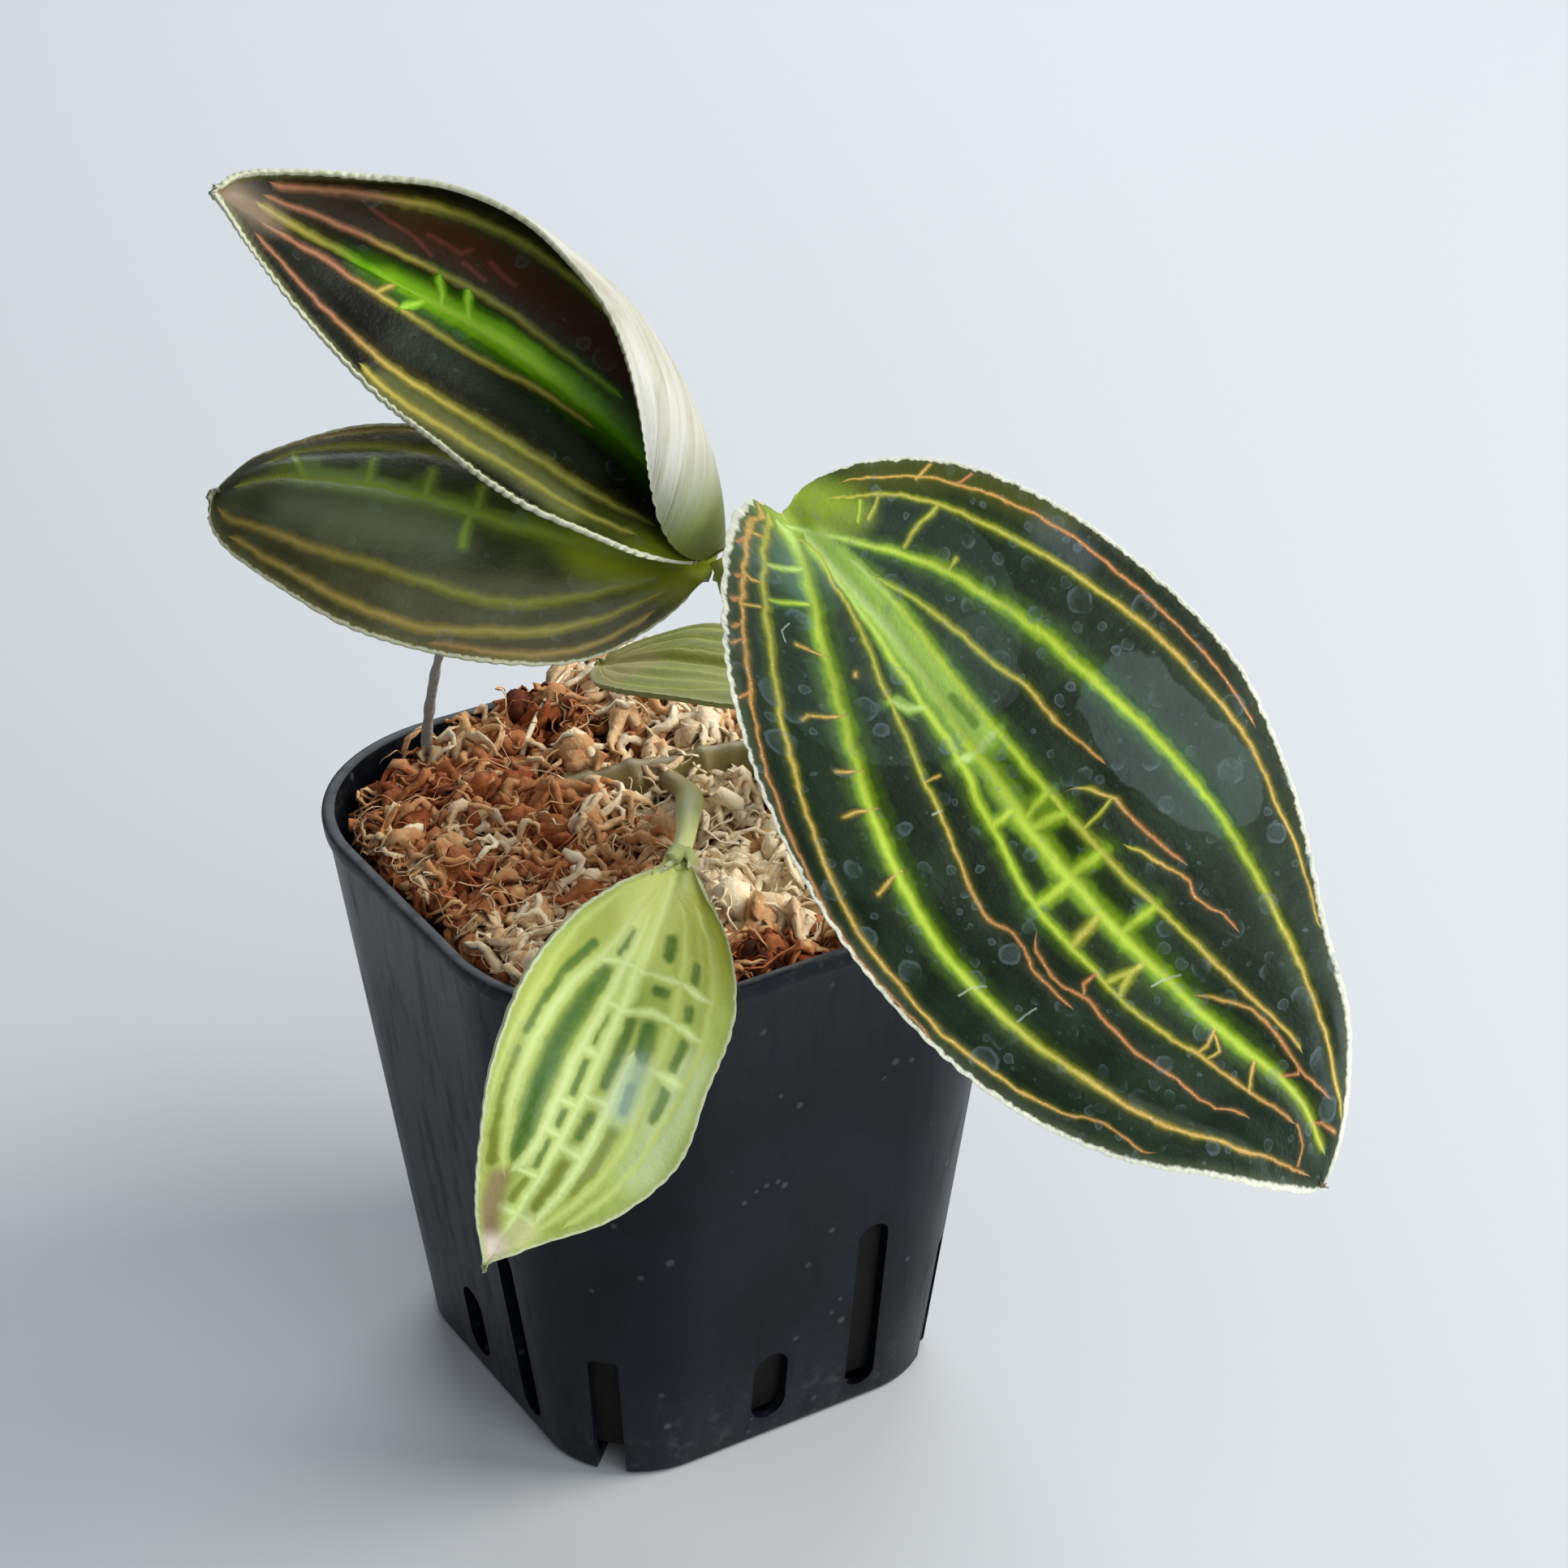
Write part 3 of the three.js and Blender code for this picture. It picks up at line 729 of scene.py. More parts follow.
@dataclass(frozen=True)
class UndersideFinish(Finish):
    """The paler under side of a leaf, with its veins showing as soft stripes."""

    name: str
    ground: Tone
    stripe: Tone
    base: Tone
    roughness: float = 0.5

    def paint(self, sketch: Sketch, shared: SharedEffects) -> None:
        """Paints the leaf's under side.

        Args:
            sketch: The material's tree.
            shared: The node groups.
        """
        place = sketch.laid_flat()
        drawn_out = sketch.vector("MULTIPLY", place, (0.06, 1.0, 0.0))
        stripes = sketch.step(sketch.noise(drawn_out, 0.8, 3.0), 0.34, 0.7)
        cloud = sketch.step(sketch.noise(place, 0.3, 3.0), 0.3, 0.75)
        amount = sketch.times(stripes, sketch.graded(cloud, 0.45, 0.3))
        colour = sketch.mix(amount, self.ground, self.stripe)
        near_base = sketch.step(sketch.split(place)[0], 11.0, 2.0)
        colour = sketch.mix(near_base, colour, self.base)
        grain, rough = sketch.grained(shared.grain, place, 0.4, self.roughness)
        height = sketch.math("ADD", stripes, sketch.times(grain, 0.6))
        sketch.surface(colour, rough, (height, 0.4, 0.2 * MM))


# ---------------------------------------------------------------- modelling helpers


def bell(place: Rows) -> Rows:
    """Falls off smoothly from 1 on both sides of zero."""
    return np.exp(-(place**2))


def cubic(line: Rows, index: Rows, share: Rows) -> Rows:
    """Reads a smooth line through evenly spaced values, a share of a step past each index."""
    a, b, c, d, f = *(line[index + i] for i in range(4)), share
    return b + 0.5 * f * (c - a + f * (2 * a - 5 * b + 4 * c - d + f * (3 * (b - c) + d - a)))


def run_along(path: Rows) -> Rows:
    """Gives how far along a path each of its points lies."""
    return np.concatenate([[0], np.cumsum(np.linalg.norm(np.diff(path, axis=0), axis=1))])


def smooth_path(points: tuple[Place, ...] | Rows, steps: int) -> Rows:
    """Draws a smooth path through points.

    Args:
        points: The points to pass through.
        steps: How many even steps the path is cut in.

    Returns:
        Points on the path, evenly spaced.
    """
    knots = np.array(points, float)
    line = np.vstack([2 * knots[0] - knots[1], knots, 2 * knots[-1] - knots[-2]])
    fine = np.linspace(0, len(knots) - 1, 40 * (len(knots) - 1) + 1)
    index = np.minimum(fine.astype(int), len(knots) - 2)
    curve = cubic(line, index, (fine - index)[:, None])
    run = run_along(curve)
    even = np.linspace(0, run[-1], steps + 1)
    return np.stack([np.interp(even, run, curve[:, i]) for i in range(3)], 1)


def deselect_all() -> None:
    """Deselects every object."""
    for item in bpy.context.scene.objects:
        item.select_set(False)


def activate(*pieces: Piece) -> None:
    """Selects some objects alone and makes the first the active one."""
    deselect_all()
    for piece in pieces:
        piece.select_set(True)
    bpy.context.view_layer.objects.active = pieces[0]


def apply_modifiers(piece: Piece) -> None:
    """Applies an object's modifiers in order."""
    activate(piece)
    for modifier in list(piece.modifiers):
        bpy.ops.object.modifier_apply(modifier=modifier.name)


def apply_place() -> None:
    """Writes the active object's place, turn and scale into its mesh."""
    bpy.ops.object.transform_apply(location=True, rotation=True, scale=True)


def edit(mode: str, action: str) -> None:
    """Goes into edit mode or out of it, and selects or deselects everything there."""
    bpy.ops.object.mode_set(mode=mode)
    if mode == "EDIT":
        bpy.ops.mesh.select_all(action=action)


def shade_smooth(piece: Piece) -> None:
    """Smooths an object's shading."""
    activate(piece)
    bpy.ops.object.shade_smooth()


def sheet(columns: int, rows: int) -> Piece:
    """Adds a flat sheet, one unit long and wide.

    Args:
        columns: Faces along X.
        rows: Faces along Y.

    Returns:
        The sheet.
    """
    deselect_all()
    bpy.ops.mesh.primitive_grid_add(
        x_subdivisions=columns, y_subdivisions=rows, size=1.0, location=(0, 0, 0)
    )
    return bpy.context.object


def vertex_places(piece: Piece) -> Rows:
    """Reads where an object's vertices are.

    Args:
        piece: The object.

    Returns:
        One row for each vertex.
    """
    places = np.empty(len(piece.data.vertices) * 3)
    piece.data.vertices.foreach_get("co", places)
    return places.reshape(-1, 3)


def tint_piece(piece: Piece, tints: Rows) -> None:
    """Writes a tint for each of an object's vertices."""
    attribute = piece.data.attributes.new("tint", "FLOAT", "POINT")
    attribute.data.foreach_set("value", tints.astype(np.float32))


def report(piece: Piece) -> None:
    """Logs how large a finished piece is."""
    triangles = sum(len(face.vertices) - 2 for face in piece.data.polygons)
    LOG.info("%s: %d triangles", piece.name, triangles)


class TubeStock:
    """A straight closed tube, modelled once, from which stems, roots and strands are bent."""

    def __init__(self, sides: int, steps: int) -> None:
        """Models the tube: a sheet rolled up, its seam merged and its ends closed.

        Args:
            sides: Faces round it.
            steps: Faces along it.
        """
        self.steps = steps
        self.along = np.linspace(0, 1, steps + 1)
        tube = sheet(sides, steps)
        flat = vertex_places(tube)
        turn = 2 * np.pi * (flat[:, 0] + 0.5)
        rolled = np.stack([np.cos(turn), np.sin(turn), (flat[:, 1] + 0.5) * steps], 1)
        tube.data.vertices.foreach_set("co", rolled.ravel())
        edit("EDIT", "SELECT")
        bpy.ops.mesh.remove_doubles(threshold=1e-4)
        bpy.ops.mesh.select_all(action="SELECT")
        bpy.ops.mesh.fill_holes(sides=0)
        bpy.ops.mesh.select_all(action="SELECT")
        bpy.ops.mesh.normals_make_consistent(inside=False)
        bpy.ops.object.mode_set(mode="OBJECT")
        places = vertex_places(tube)
        self.turn = np.arctan2(places[:, 1], places[:, 0])
        self.ring = np.round(places[:, 2]).astype(int)
        self.faces = [tuple(face.vertices) for face in tube.data.polygons]
        bpy.data.objects.remove(tube)

    def tapered(self, radius: Point) -> Rows:
        """Gives a radius for each ring, from the first one to the last."""
        return radius[0] + (radius[1] - radius[0]) * self.along

    def bend(self, path: Rows, radius: Rows, flatness: float = 1.0, twist: float = 0.0) -> Rows:
        """Bends the tube along a path.

        Args:
            path: One point for each ring.
            radius: The tube's radius at each ring.
            flatness: Its thickness as a share of its width.
            twist: How far it turns about itself from end to end, in radians.

        Returns:
            The vertices, in millimetres.
        """
        tangent = np.gradient(path, axis=0)
        tangent /= np.linalg.norm(tangent, axis=1, keepdims=True)
        normal = np.cross(tangent[0], (0.31, 0.22, 0.92))
        normals = []
        for direction in tangent:
            normal = normal - direction * np.dot(normal, direction)
            normal = normal / np.linalg.norm(normal)
            normals.append(normal)
        normal_rows = np.array(normals)
        binormal = np.cross(tangent, normal_rows)
        spin = (twist * np.linspace(0, 1, len(path)))[:, None]
        wide = normal_rows * np.cos(spin) + binormal * np.sin(spin)
        thin = binormal * np.cos(spin) - normal_rows * np.sin(spin)
        ring = self.ring
        around = np.cos(self.turn)[:, None] * wide[ring]
        around = around + flatness * np.sin(self.turn)[:, None] * thin[ring]
        return path[ring] + radius[ring][:, None] * around


class Bundle:
    """Tubes gathered into one mesh, each with its own tint."""

    def __init__(self) -> None:
        """Starts with no tube."""
        self.vertices: list[Rows] = []
        self.faces: list[tuple[int, ...]] = []
        self.tints: list[Rows] = []
        self.count = 0

    def add(self, stock: TubeStock, vertices: Rows, tint: float | Rows) -> None:
        """Adds one bent tube.

        Args:
            stock: The tube it was bent from.
            vertices: Its vertices.
            tint: Its tint, for all of it or for each vertex.
        """
        self.vertices.append(vertices)
        self.tints.append(np.full(len(vertices), tint) if np.isscalar(tint) else tint)
        self.faces += [tuple(v + self.count for v in face) for face in stock.faces]
        self.count += len(vertices)

    def piece(self, name: str) -> Piece:
        """Makes the bundle one smooth object with a tint attribute.

        Args:
            name: The object's name.

        Returns:
            The object.
        """
        mesh = bpy.data.meshes.new(name)
        mesh.from_pydata((np.vstack(self.vertices) * MM).tolist(), [], self.faces)
        mesh.update()
        piece = bpy.data.objects.new(name, mesh)
        bpy.context.scene.collection.objects.link(piece)
        shade_smooth(piece)
        tint_piece(piece, np.concatenate(self.tints))
        return piece


# ---------------------------------------------------------------- leaf form


def widths_through(knots: tuple[float, ...], station: Rows) -> Rows:
    """Reads a leaf's half width from its values at even stations.

    Args:
        knots: Half widths at even stations, without the zeros at both ends.
        station: Stations from 0 to 1.

    Returns:
        The half widths.
    """
    line = np.array([-knots[0], 0.0, *knots, 0.0, -knots[-1]])
    place = np.clip(station, 0, 1) * (len(knots) + 1)
    index = np.minimum(place.astype(int), len(knots))
    return cubic(line, index, place - index)


@dataclass(frozen=True)
class LeafForm:
    """The curved surface of a leaf, as its solid has it.

    heading, pitch and roll are degrees along the midrib: at the base, gained evenly and gained
    late. fold and curl bend each half up across its width: at the base, and gained by the tip.
    """

    base: Place
    length: float
    heading: Place
    pitch: Place
    roll: Place
    tip_shift: float
    left: tuple[float, ...]
    right: tuple[float, ...]
    fold_left: Point
    fold_right: Point
    curl_left: Point
    curl_right: Point
    lobe_left: float
    lobe_right: float
    first_station: float

    MIDRIB_STEPS = 160
    TIP_TURN = 0.14
    NARROW = 3.0

    def frames(self, t: Rows) -> tuple[Rows, Rows, Rows, Rows]:
        """Follows the midrib.

        Args:
            t: Shares of the leaf's length, from 0 to 1.

        Returns:
            The points there, and the directions along, across and up.
        """
        even = np.linspace(0, 1, self.MIDRIB_STEPS + 1)
        azimuth, climb, bank = (
            np.radians(turn[0] + turn[1] * even + turn[2] * even**2)
            for turn in (self.heading, self.pitch, self.roll)
        )
        bank = bank[:, None]
        tangent = np.stack(
            [np.cos(climb) * np.cos(azimuth), np.cos(climb) * np.sin(azimuth), np.sin(climb)], 1
        )
        level = np.stack([np.sin(azimuth), -np.cos(azimuth), 0 * azimuth], 1)
        lift = np.cross(level, tangent)
        across = level * np.cos(bank) + lift * np.sin(bank)
        up = lift * np.cos(bank) - level * np.sin(bank)
        half = self.length / self.MIDRIB_STEPS / 2
        run = np.vstack([np.zeros(3), np.cumsum((tangent[1:] + tangent[:-1]) * half, 0)])
        rows = (run + np.array(self.base), tangent, across, up)
        return tuple(np.stack([np.interp(t, even, row[:, i]) for i in range(3)], 1) for row in rows)

    def half_width(self, station: Rows, side: Rows) -> Rows:
        """Gives the half width on the side that each point is on."""
        right = widths_through(self.right, station)
        return np.where(side > 0, right, widths_through(self.left, station))

    def points(self, station: Rows, side: Rows) -> Rows:
        """Places points on the leaf.

        Args:
            station: Stations along the leaf, from 0 to 1.
            side: Places across it, from -1 at the left edge to 1 at the right edge.

        Returns:
            The points, in millimetres.
        """
        t = (1 - np.cos(np.pi * station)) / 2
        point, tangent, across, up = self.frames(t)
        is_right = side > 0
        out = np.abs(side)
        width = self.half_width(station, side)
        bends = ((self.fold_right, self.fold_left), (self.curl_right, self.curl_left))
        fold, curl = (
            np.radians(np.where(is_right, right[0] + right[1] * t, left[0] + left[1] * t))
            for right, left in bends
        )
        curl = curl * np.minimum(1, width / self.NARROW)
        curl = np.where(np.abs(curl) < 1e-4, 1e-4, curl)
        span = width * (np.sin(fold + curl * out) - np.sin(fold)) / curl
        rise = width * (np.cos(fold) - np.cos(fold + curl * out)) / curl
        lobe = np.where(is_right, self.lobe_right, self.lobe_left)
        back = lobe * np.sin(np.pi * station) * (1 - t) ** 4 * out**2
        near_tip = np.maximum(0, (t - 1 + self.TIP_TURN) / self.TIP_TURN)
        sideways = self.tip_shift * near_tip**2 + np.sign(side) * span
        return point + across * sideways[:, None] + up * rise[:, None] - tangent * back[:, None]


@dataclass(frozen=True)
class Relief:
    """The form that lies on a leaf's surface, finer than its solid has it."""

    tooth: float
    tooth_depth: float
    swell: float
    ripple: float
    seed: int
    valleys: tuple[tuple[Course, float, float], ...]
    bead: float = 0.2
    edge_bead: float = 0.22
    keel: float = 0.9
    thickness: float = 0.42


@dataclass
class LeafGrid:
    """A leaf's points: their places along it and across it, flattened and as shares."""

    station: Rows
    side: Rows
    along: Rows
    across: Rows
    from_edge: Rows
    past_base: Rows


@dataclass
class Leaf:
    """One leaf: its form, its relief and its two finishes."""

    name: str
    node: str
    slot: str
    form: LeafForm
    relief: Relief
    upper: LeafFinish
    under: UndersideFinish
    rows: int
    columns: int

    EDGE_CROWDING = 1.5
    LAST_STATION = 0.995
    THICKEST = 1.8
    THICKNESS_STEPS = 64
    BARE_BASE = 0.1

    def build(self, shared: SharedEffects) -> None:
        """Builds the leaf as one closed, thin blade.

        Args:
            shared: The node groups.
        """
        leaf = sheet(self.columns, self.rows)
        leaf.name = leaf.data.name = self.name
        flat = vertex_places(leaf)
        grid = self._grid(flat)
        width = self.form.half_width(grid.station, grid.side)
        toothed = grid.side * (1 + self._teeth(grid) / np.maximum(width, 2.0))
        points = self.form.points(grid.station, toothed)
        rise = self._rise(grid) + self.relief.thickness / 2
        points = points + self._normals(points, flat) * rise[:, None]
        leaf.data.vertices.foreach_set("co", (points * MM).ravel())
        self._map(leaf, grid)
        leaf.data.materials.append(self.upper.material(shared))
        leaf.data.materials.append(self.under.material(shared))
        self._thicken(leaf, self._thickness(grid))
        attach(leaf, BODY)
        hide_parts(self.node)
        report(leaf)

    def _grid(self, flat: Rows) -> LeafGrid:
        """Gives a flat sheet's vertices their places on the leaf.

        Args:
            flat: The vertices of a sheet one unit long and wide.

        Returns:
            Their places, closer together near the edges.
        """
        first = self.form.first_station
        station = first + (self.LAST_STATION - first) * (flat[:, 1] + 0.5)
        out = np.abs(2 * flat[:, 0])
        side = np.sign(flat[:, 0]) * (1 - (1 - out) ** self.EDGE_CROWDING)
        width = self.form.half_width(station, side)
        along = self.form.length * (1 - np.cos(np.pi * station)) / 2
        past_base = np.clip((station - first) / self.BARE_BASE, 0, 1) ** 2
        return LeafGrid(station, side, along, side * width, (1 - np.abs(side)) * width, past_base)

    def _teeth(self, grid: LeafGrid) -> Rows:
        """Gives the crenate edge: round teeth with sharp notches between them.

        Args:
            grid: The leaf's points.

        Returns:
            How far each point moves out, in millimetres.
        """
        even = np.linspace(0, 1, 400)
        result = np.zeros_like(grid.station)
        for sign in (-1.0, 1.0):
            run = run_along(self.form.points(even, np.full_like(even, sign)))
            drift = 0.9 * np.sin(run * 0.21 + sign) + 0.5 * np.sin(run * 0.53 + 2 * sign)
            size = 0.72 + 0.28 * np.sin(run * 0.37 + 1.7 * sign)
            wave = np.abs(np.sin(np.pi * (run + drift) / self.relief.tooth)) ** 0.7 - 0.6
            tooth = self.relief.tooth_depth * wave * size
            near = bell(grid.from_edge / 0.9) * grid.past_base
            result += np.where(
                grid.side * sign > 0, np.interp(grid.station, even, tooth) * near, 0
            )
        return result

    def _normals(self, points: Rows, flat: Rows) -> Rows:
        """Works out which way the surface faces at each point.

        Args:
            points: The points.
            flat: Their places on the flat sheet.

        Returns:
            Unit directions.
        """
        counts = np.array([self.columns, self.rows])
        stop, line = np.round((flat[:, :2] + 0.5) * counts).astype(int).T
        grid = np.empty((self.rows + 1, self.columns + 1, 3))
        grid[line, stop] = points
        normal = np.cross(np.gradient(grid, axis=1), np.gradient(grid, axis=0))
        length = np.linalg.norm(normal, axis=2, keepdims=True)
        return (normal / np.maximum(length, 1e-9))[line, stop]

    def _rise(self, grid: LeafGrid) -> Rows:
        """Gives the relief: sunken veins, a swell between them and a raised bead at the edge.

        Args:
            grid: The leaf's points.

        Returns:
            Heights over the plain surface.
        """
        relief, along, across = self.relief, grid.along, grid.across
        height = relief.bead * bell(grid.from_edge / 0.7) * grid.past_base
        for course, depth, width in relief.valleys:
            x, y = np.array(course).T
            ends = np.clip((along - x[0] + 2) / 4, 0, 1) * np.clip((x[-1] + 2 - along) / 4, 0, 1)
            height -= depth * ends * bell((across - np.interp(along, x, y)) / width)
        seed = relief.seed
        slow = np.sin(along / 6.1 + seed) * np.sin(across / 4.3 + 2 * seed)
        quick = np.sin(along / 2.3 + 0.7 * across) * np.sin(along / 3.7 - across / 2.1 + seed)
        height += relief.swell * np.minimum(1, grid.from_edge / 2) * (slow + 0.35 * quick)
        wave = np.sin(along / 3.1 + seed) + 0.6 * np.sin(along / 1.7 + 2.1 + np.sign(across))
        return height + relief.ripple * wave * np.exp(-grid.from_edge / 3) * grid.past_base

    def _thickness(self, grid: LeafGrid) -> Rows:
        """Gives the blade's thickness: a keel under the midrib and a bead at the edge.

        Args:
            grid: The leaf's points.

        Returns:
            The thickness at each point.
        """
        keel = self.relief.keel * (1 - grid.station) * bell(grid.across / 1.2)
        bead = self.relief.edge_bead * bell(grid.from_edge / 0.6) * grid.past_base
        return self.relief.thickness + keel + bead

    def _map(self, leaf: Piece, grid: LeafGrid) -> None:
        """Writes the flattened leaf and the distance from its edge as two maps.

        Args:
            leaf: The leaf's object.
            grid: Its points.
        """
        while leaf.data.uv_layers:
            leaf.data.uv_layers.remove(leaf.data.uv_layers[0])
        corners = np.empty(len(leaf.data.loops), dtype=np.int32)
        leaf.data.loops.foreach_get("vertex_index", corners)
        maps = {
            "flat": (grid.along / FLAT_SCALE, 0.5 + grid.across / FLAT_SCALE),
            "rim": (grid.from_edge / WIDTH_SCALE, grid.station),
        }
        for name, values in maps.items():
            layer = leaf.data.uv_layers.new(name=name)
            layer.data.foreach_set("uv", np.stack(values, 1)[corners].astype(np.float32).ravel())

    def _thicken(self, leaf: Piece, thickness: Rows) -> None:
        """Gives the blade its thickness and smooth shading.

        Args:
            leaf: The leaf's object.
            thickness: The thickness at each point, in millimetres.
        """
        group = leaf.vertex_groups.new(name="thickness")
        steps = self.THICKNESS_STEPS
        level = np.round(thickness / self.THICKEST * steps).astype(int)
        for value in np.unique(level):
            members = np.nonzero(level == value)[0].tolist()
            group.add(members, float(value) / steps, "REPLACE")
        solidify = leaf.modifiers.new("thickness", "SOLIDIFY")
        solidify.thickness = self.THICKEST * MM
        solidify.offset = -1.0
        solidify.vertex_group = group.name
        solidify.thickness_vertex_group = 0.0
        solidify.material_offset = 1
        solidify.material_offset_rim = 0
        apply_modifiers(leaf)
        leaf.vertex_groups.clear()
        shade_smooth(leaf)


# ---------------------------------------------------------------- plain finishes


@dataclass(frozen=True)
class PlasticFinish(Finish):
    """Satin black moulded plastic, a little dusty and scuffed."""

    name: str = "Satin black plastic"
    dark: Tone = (3, 7, 12)
    light: Tone = (9, 15, 23)
    dust: Tone = (104, 108, 108)
    roughness: float = 0.42

    def paint(self, sketch: Sketch, shared: SharedEffects) -> None:
        """Paints the plastic.

        Args:
            sketch: The material's tree.
            shared: The node groups.
        """
        place = sketch.add("TexCoord").outputs["Object"]
        cloud = sketch.step(sketch.noise(place, 60.0, 4.0, 0.6, False), 0.35, 0.7)
        colour = sketch.mix(cloud, self.dark, self.light)
        height = sketch.split(place)[2]
        low = sketch.step(height, 0.016, 0.0, 0.0, 0.5)
        rim = sketch.step(height, 0.0685, 0.0705, 0.0, 0.55)
        settled = sketch.step(sketch.noise(place, 420.0, 5.0, 0.7, False), 0.5, 0.72)
        dusty = sketch.times(settled, sketch.math("MAXIMUM", low, rim))
        specks = sketch.group(shared.specks, place=place, size=0.0016, share=0.06).outputs[0]
        dusty = sketch.graded(specks, 0.25, sketch.times(dusty, 0.45))
        colour = sketch.mix(dusty, colour, self.dust)
        streaks = sketch.vector("MULTIPLY", place, (1.0, 1.0, 0.12))
        rub = sketch.step(sketch.noise(streaks, 500.0, 4.0, 0.6, False), 0.45, 0.75)
        rough = sketch.graded(rub, 0.14, self.roughness - 0.05)
        rough = sketch.graded(dusty, 0.4, rough)
        grain = sketch.group(shared.grain, place=place, size=0.0006).outputs["Height"]
        sketch.surface(colour, rough, (grain, 0.18, 0.12 * MM), 0.17)


@dataclass(frozen=True)
class FibreFinish(Finish):
    """Dry moss and coir, coloured by each strand's tint."""

    name: str
    stops: Stops
    grain_size: float = 0.0005
    roughness: float = 0.85
    bump: float = 0.6

    def paint(self, sketch: Sketch, shared: SharedEffects) -> None:
        """Paints the fibres.

        Args:
            sketch: The material's tree.
            shared: The node groups.
        """
        place = sketch.add("TexCoord").outputs["Object"]
        tint = sketch.add("Attribute", attribute_name="tint").outputs["Fac"]
        patchy = sketch.graded(sketch.noise(place, 700.0, 4.0, 0.65, False), 0.5, -0.25)
        colour = sketch.ramp(sketch.math("ADD", tint, patchy), self.stops)
        grain, rough = sketch.grained(shared.grain, place, self.grain_size, self.roughness)
        sketch.surface(colour, rough, (grain, self.bump, 0.3 * MM), 0.25)


@dataclass(frozen=True)
class StemFinish(Finish):
    """Fleshy satin stem, greener above and browner near the medium."""

    name: str = "Fleshy stem"
    green: Tone = (138, 146, 52)
    brown: Tone = (118, 98, 58)
    ring: Tone = (96, 74, 44)
    pale: Tone = (206, 212, 136)
    roughness: float = 0.42

    def paint(self, sketch: Sketch, shared: SharedEffects) -> None:
        """Paints the stem.

        Args:
            sketch: The material's tree.
            shared: The node groups.
        """
        place = sketch.add("TexCoord").outputs["Object"]
        tint = sketch.add("Attribute", attribute_name="tint").outputs["Fac"]
        height = sketch.step(sketch.split(place)[2], 0.068, 0.092)
        cloud = sketch.noise(place, 220.0, 4.0, 0.6, False)
        amount = sketch.clamp(sketch.math("ADD", height, sketch.graded(cloud, 0.5, -0.25)))
        colour = sketch.mix(amount, self.brown, self.green)
        colour = sketch.mix(sketch.step(tint, 0.0, 1.0, 0.0, 0.6), colour, self.ring)
        colour = sketch.mix(sketch.step(tint, 0.0, -1.0), colour, self.pale)
        grain, rough = sketch.grained(shared.grain, place, 0.0004, self.roughness)
        sketch.surface(colour, rough, (grain, 0.35, 0.15 * MM))


# ---------------------------------------------------------------- pot and medium


def ring_stack(name: str, sides: int, rings: int) -> tuple[Piece, Rows, Rows]:
    """Models a closed stack of rings: a filled circle, extruded upwards again and again.

    Args:
        name: The object's name.
        sides: Corners of each ring.
        rings: How many rings there are.

    Returns:
        The object, each vertex's ring, and its place round the ring.
    """
    deselect_all()
    bpy.ops.mesh.primitive_circle_add(vertices=sides, radius=1.0, fill_type="NGON")
    stack = bpy.context.object
    stack.name = stack.data.name = name
    edit("EDIT", "SELECT")
    for _ in range(rings - 1):
        bpy.ops.mesh.extrude_region_move(TRANSFORM_OT_translate={"value": (0, 0, 1)})
    bpy.ops.mesh.select_all(action="SELECT")
    bpy.ops.mesh.normals_make_consistent(inside=False)
    bpy.ops.object.mode_set(mode="OBJECT")
    places = vertex_places(stack)
    turn = np.arctan2(places[:, 1], places[:, 0]) / (2 * np.pi) * sides
    return stack, np.round(places[:, 2]).astype(int), np.round(turn).astype(int) % sides


def rounded_square(half: float, corner: float, sides: int) -> Rows:
    """Draws a square with round corners.

    Args:
        half: Half its width.
        corner: The radius of its corners.
        sides: How many points it gets, a multiple of 8.

    Returns:
        The points, from the middle of the +X side on.
    """
    quarter = sides // 4
    straight = quarter // 4
    centre = half - corner
    steps = np.arange(quarter)
    arc = np.clip((steps - straight) / (quarter - 2 * straight), 0, 1) * np.pi / 2
    x = centre + corner * np.cos(arc)
    y = centre + corner * np.sin(arc)
    y = np.where(steps < straight, centre * steps / straight, y)
    late = steps > quarter - straight
    x = np.where(late, centre * (quarter - steps) / straight, x)
    return np.vstack([np.stack(side, 1) for side in ((x, y), (-y, x), (-x, -y), (y, -x))])


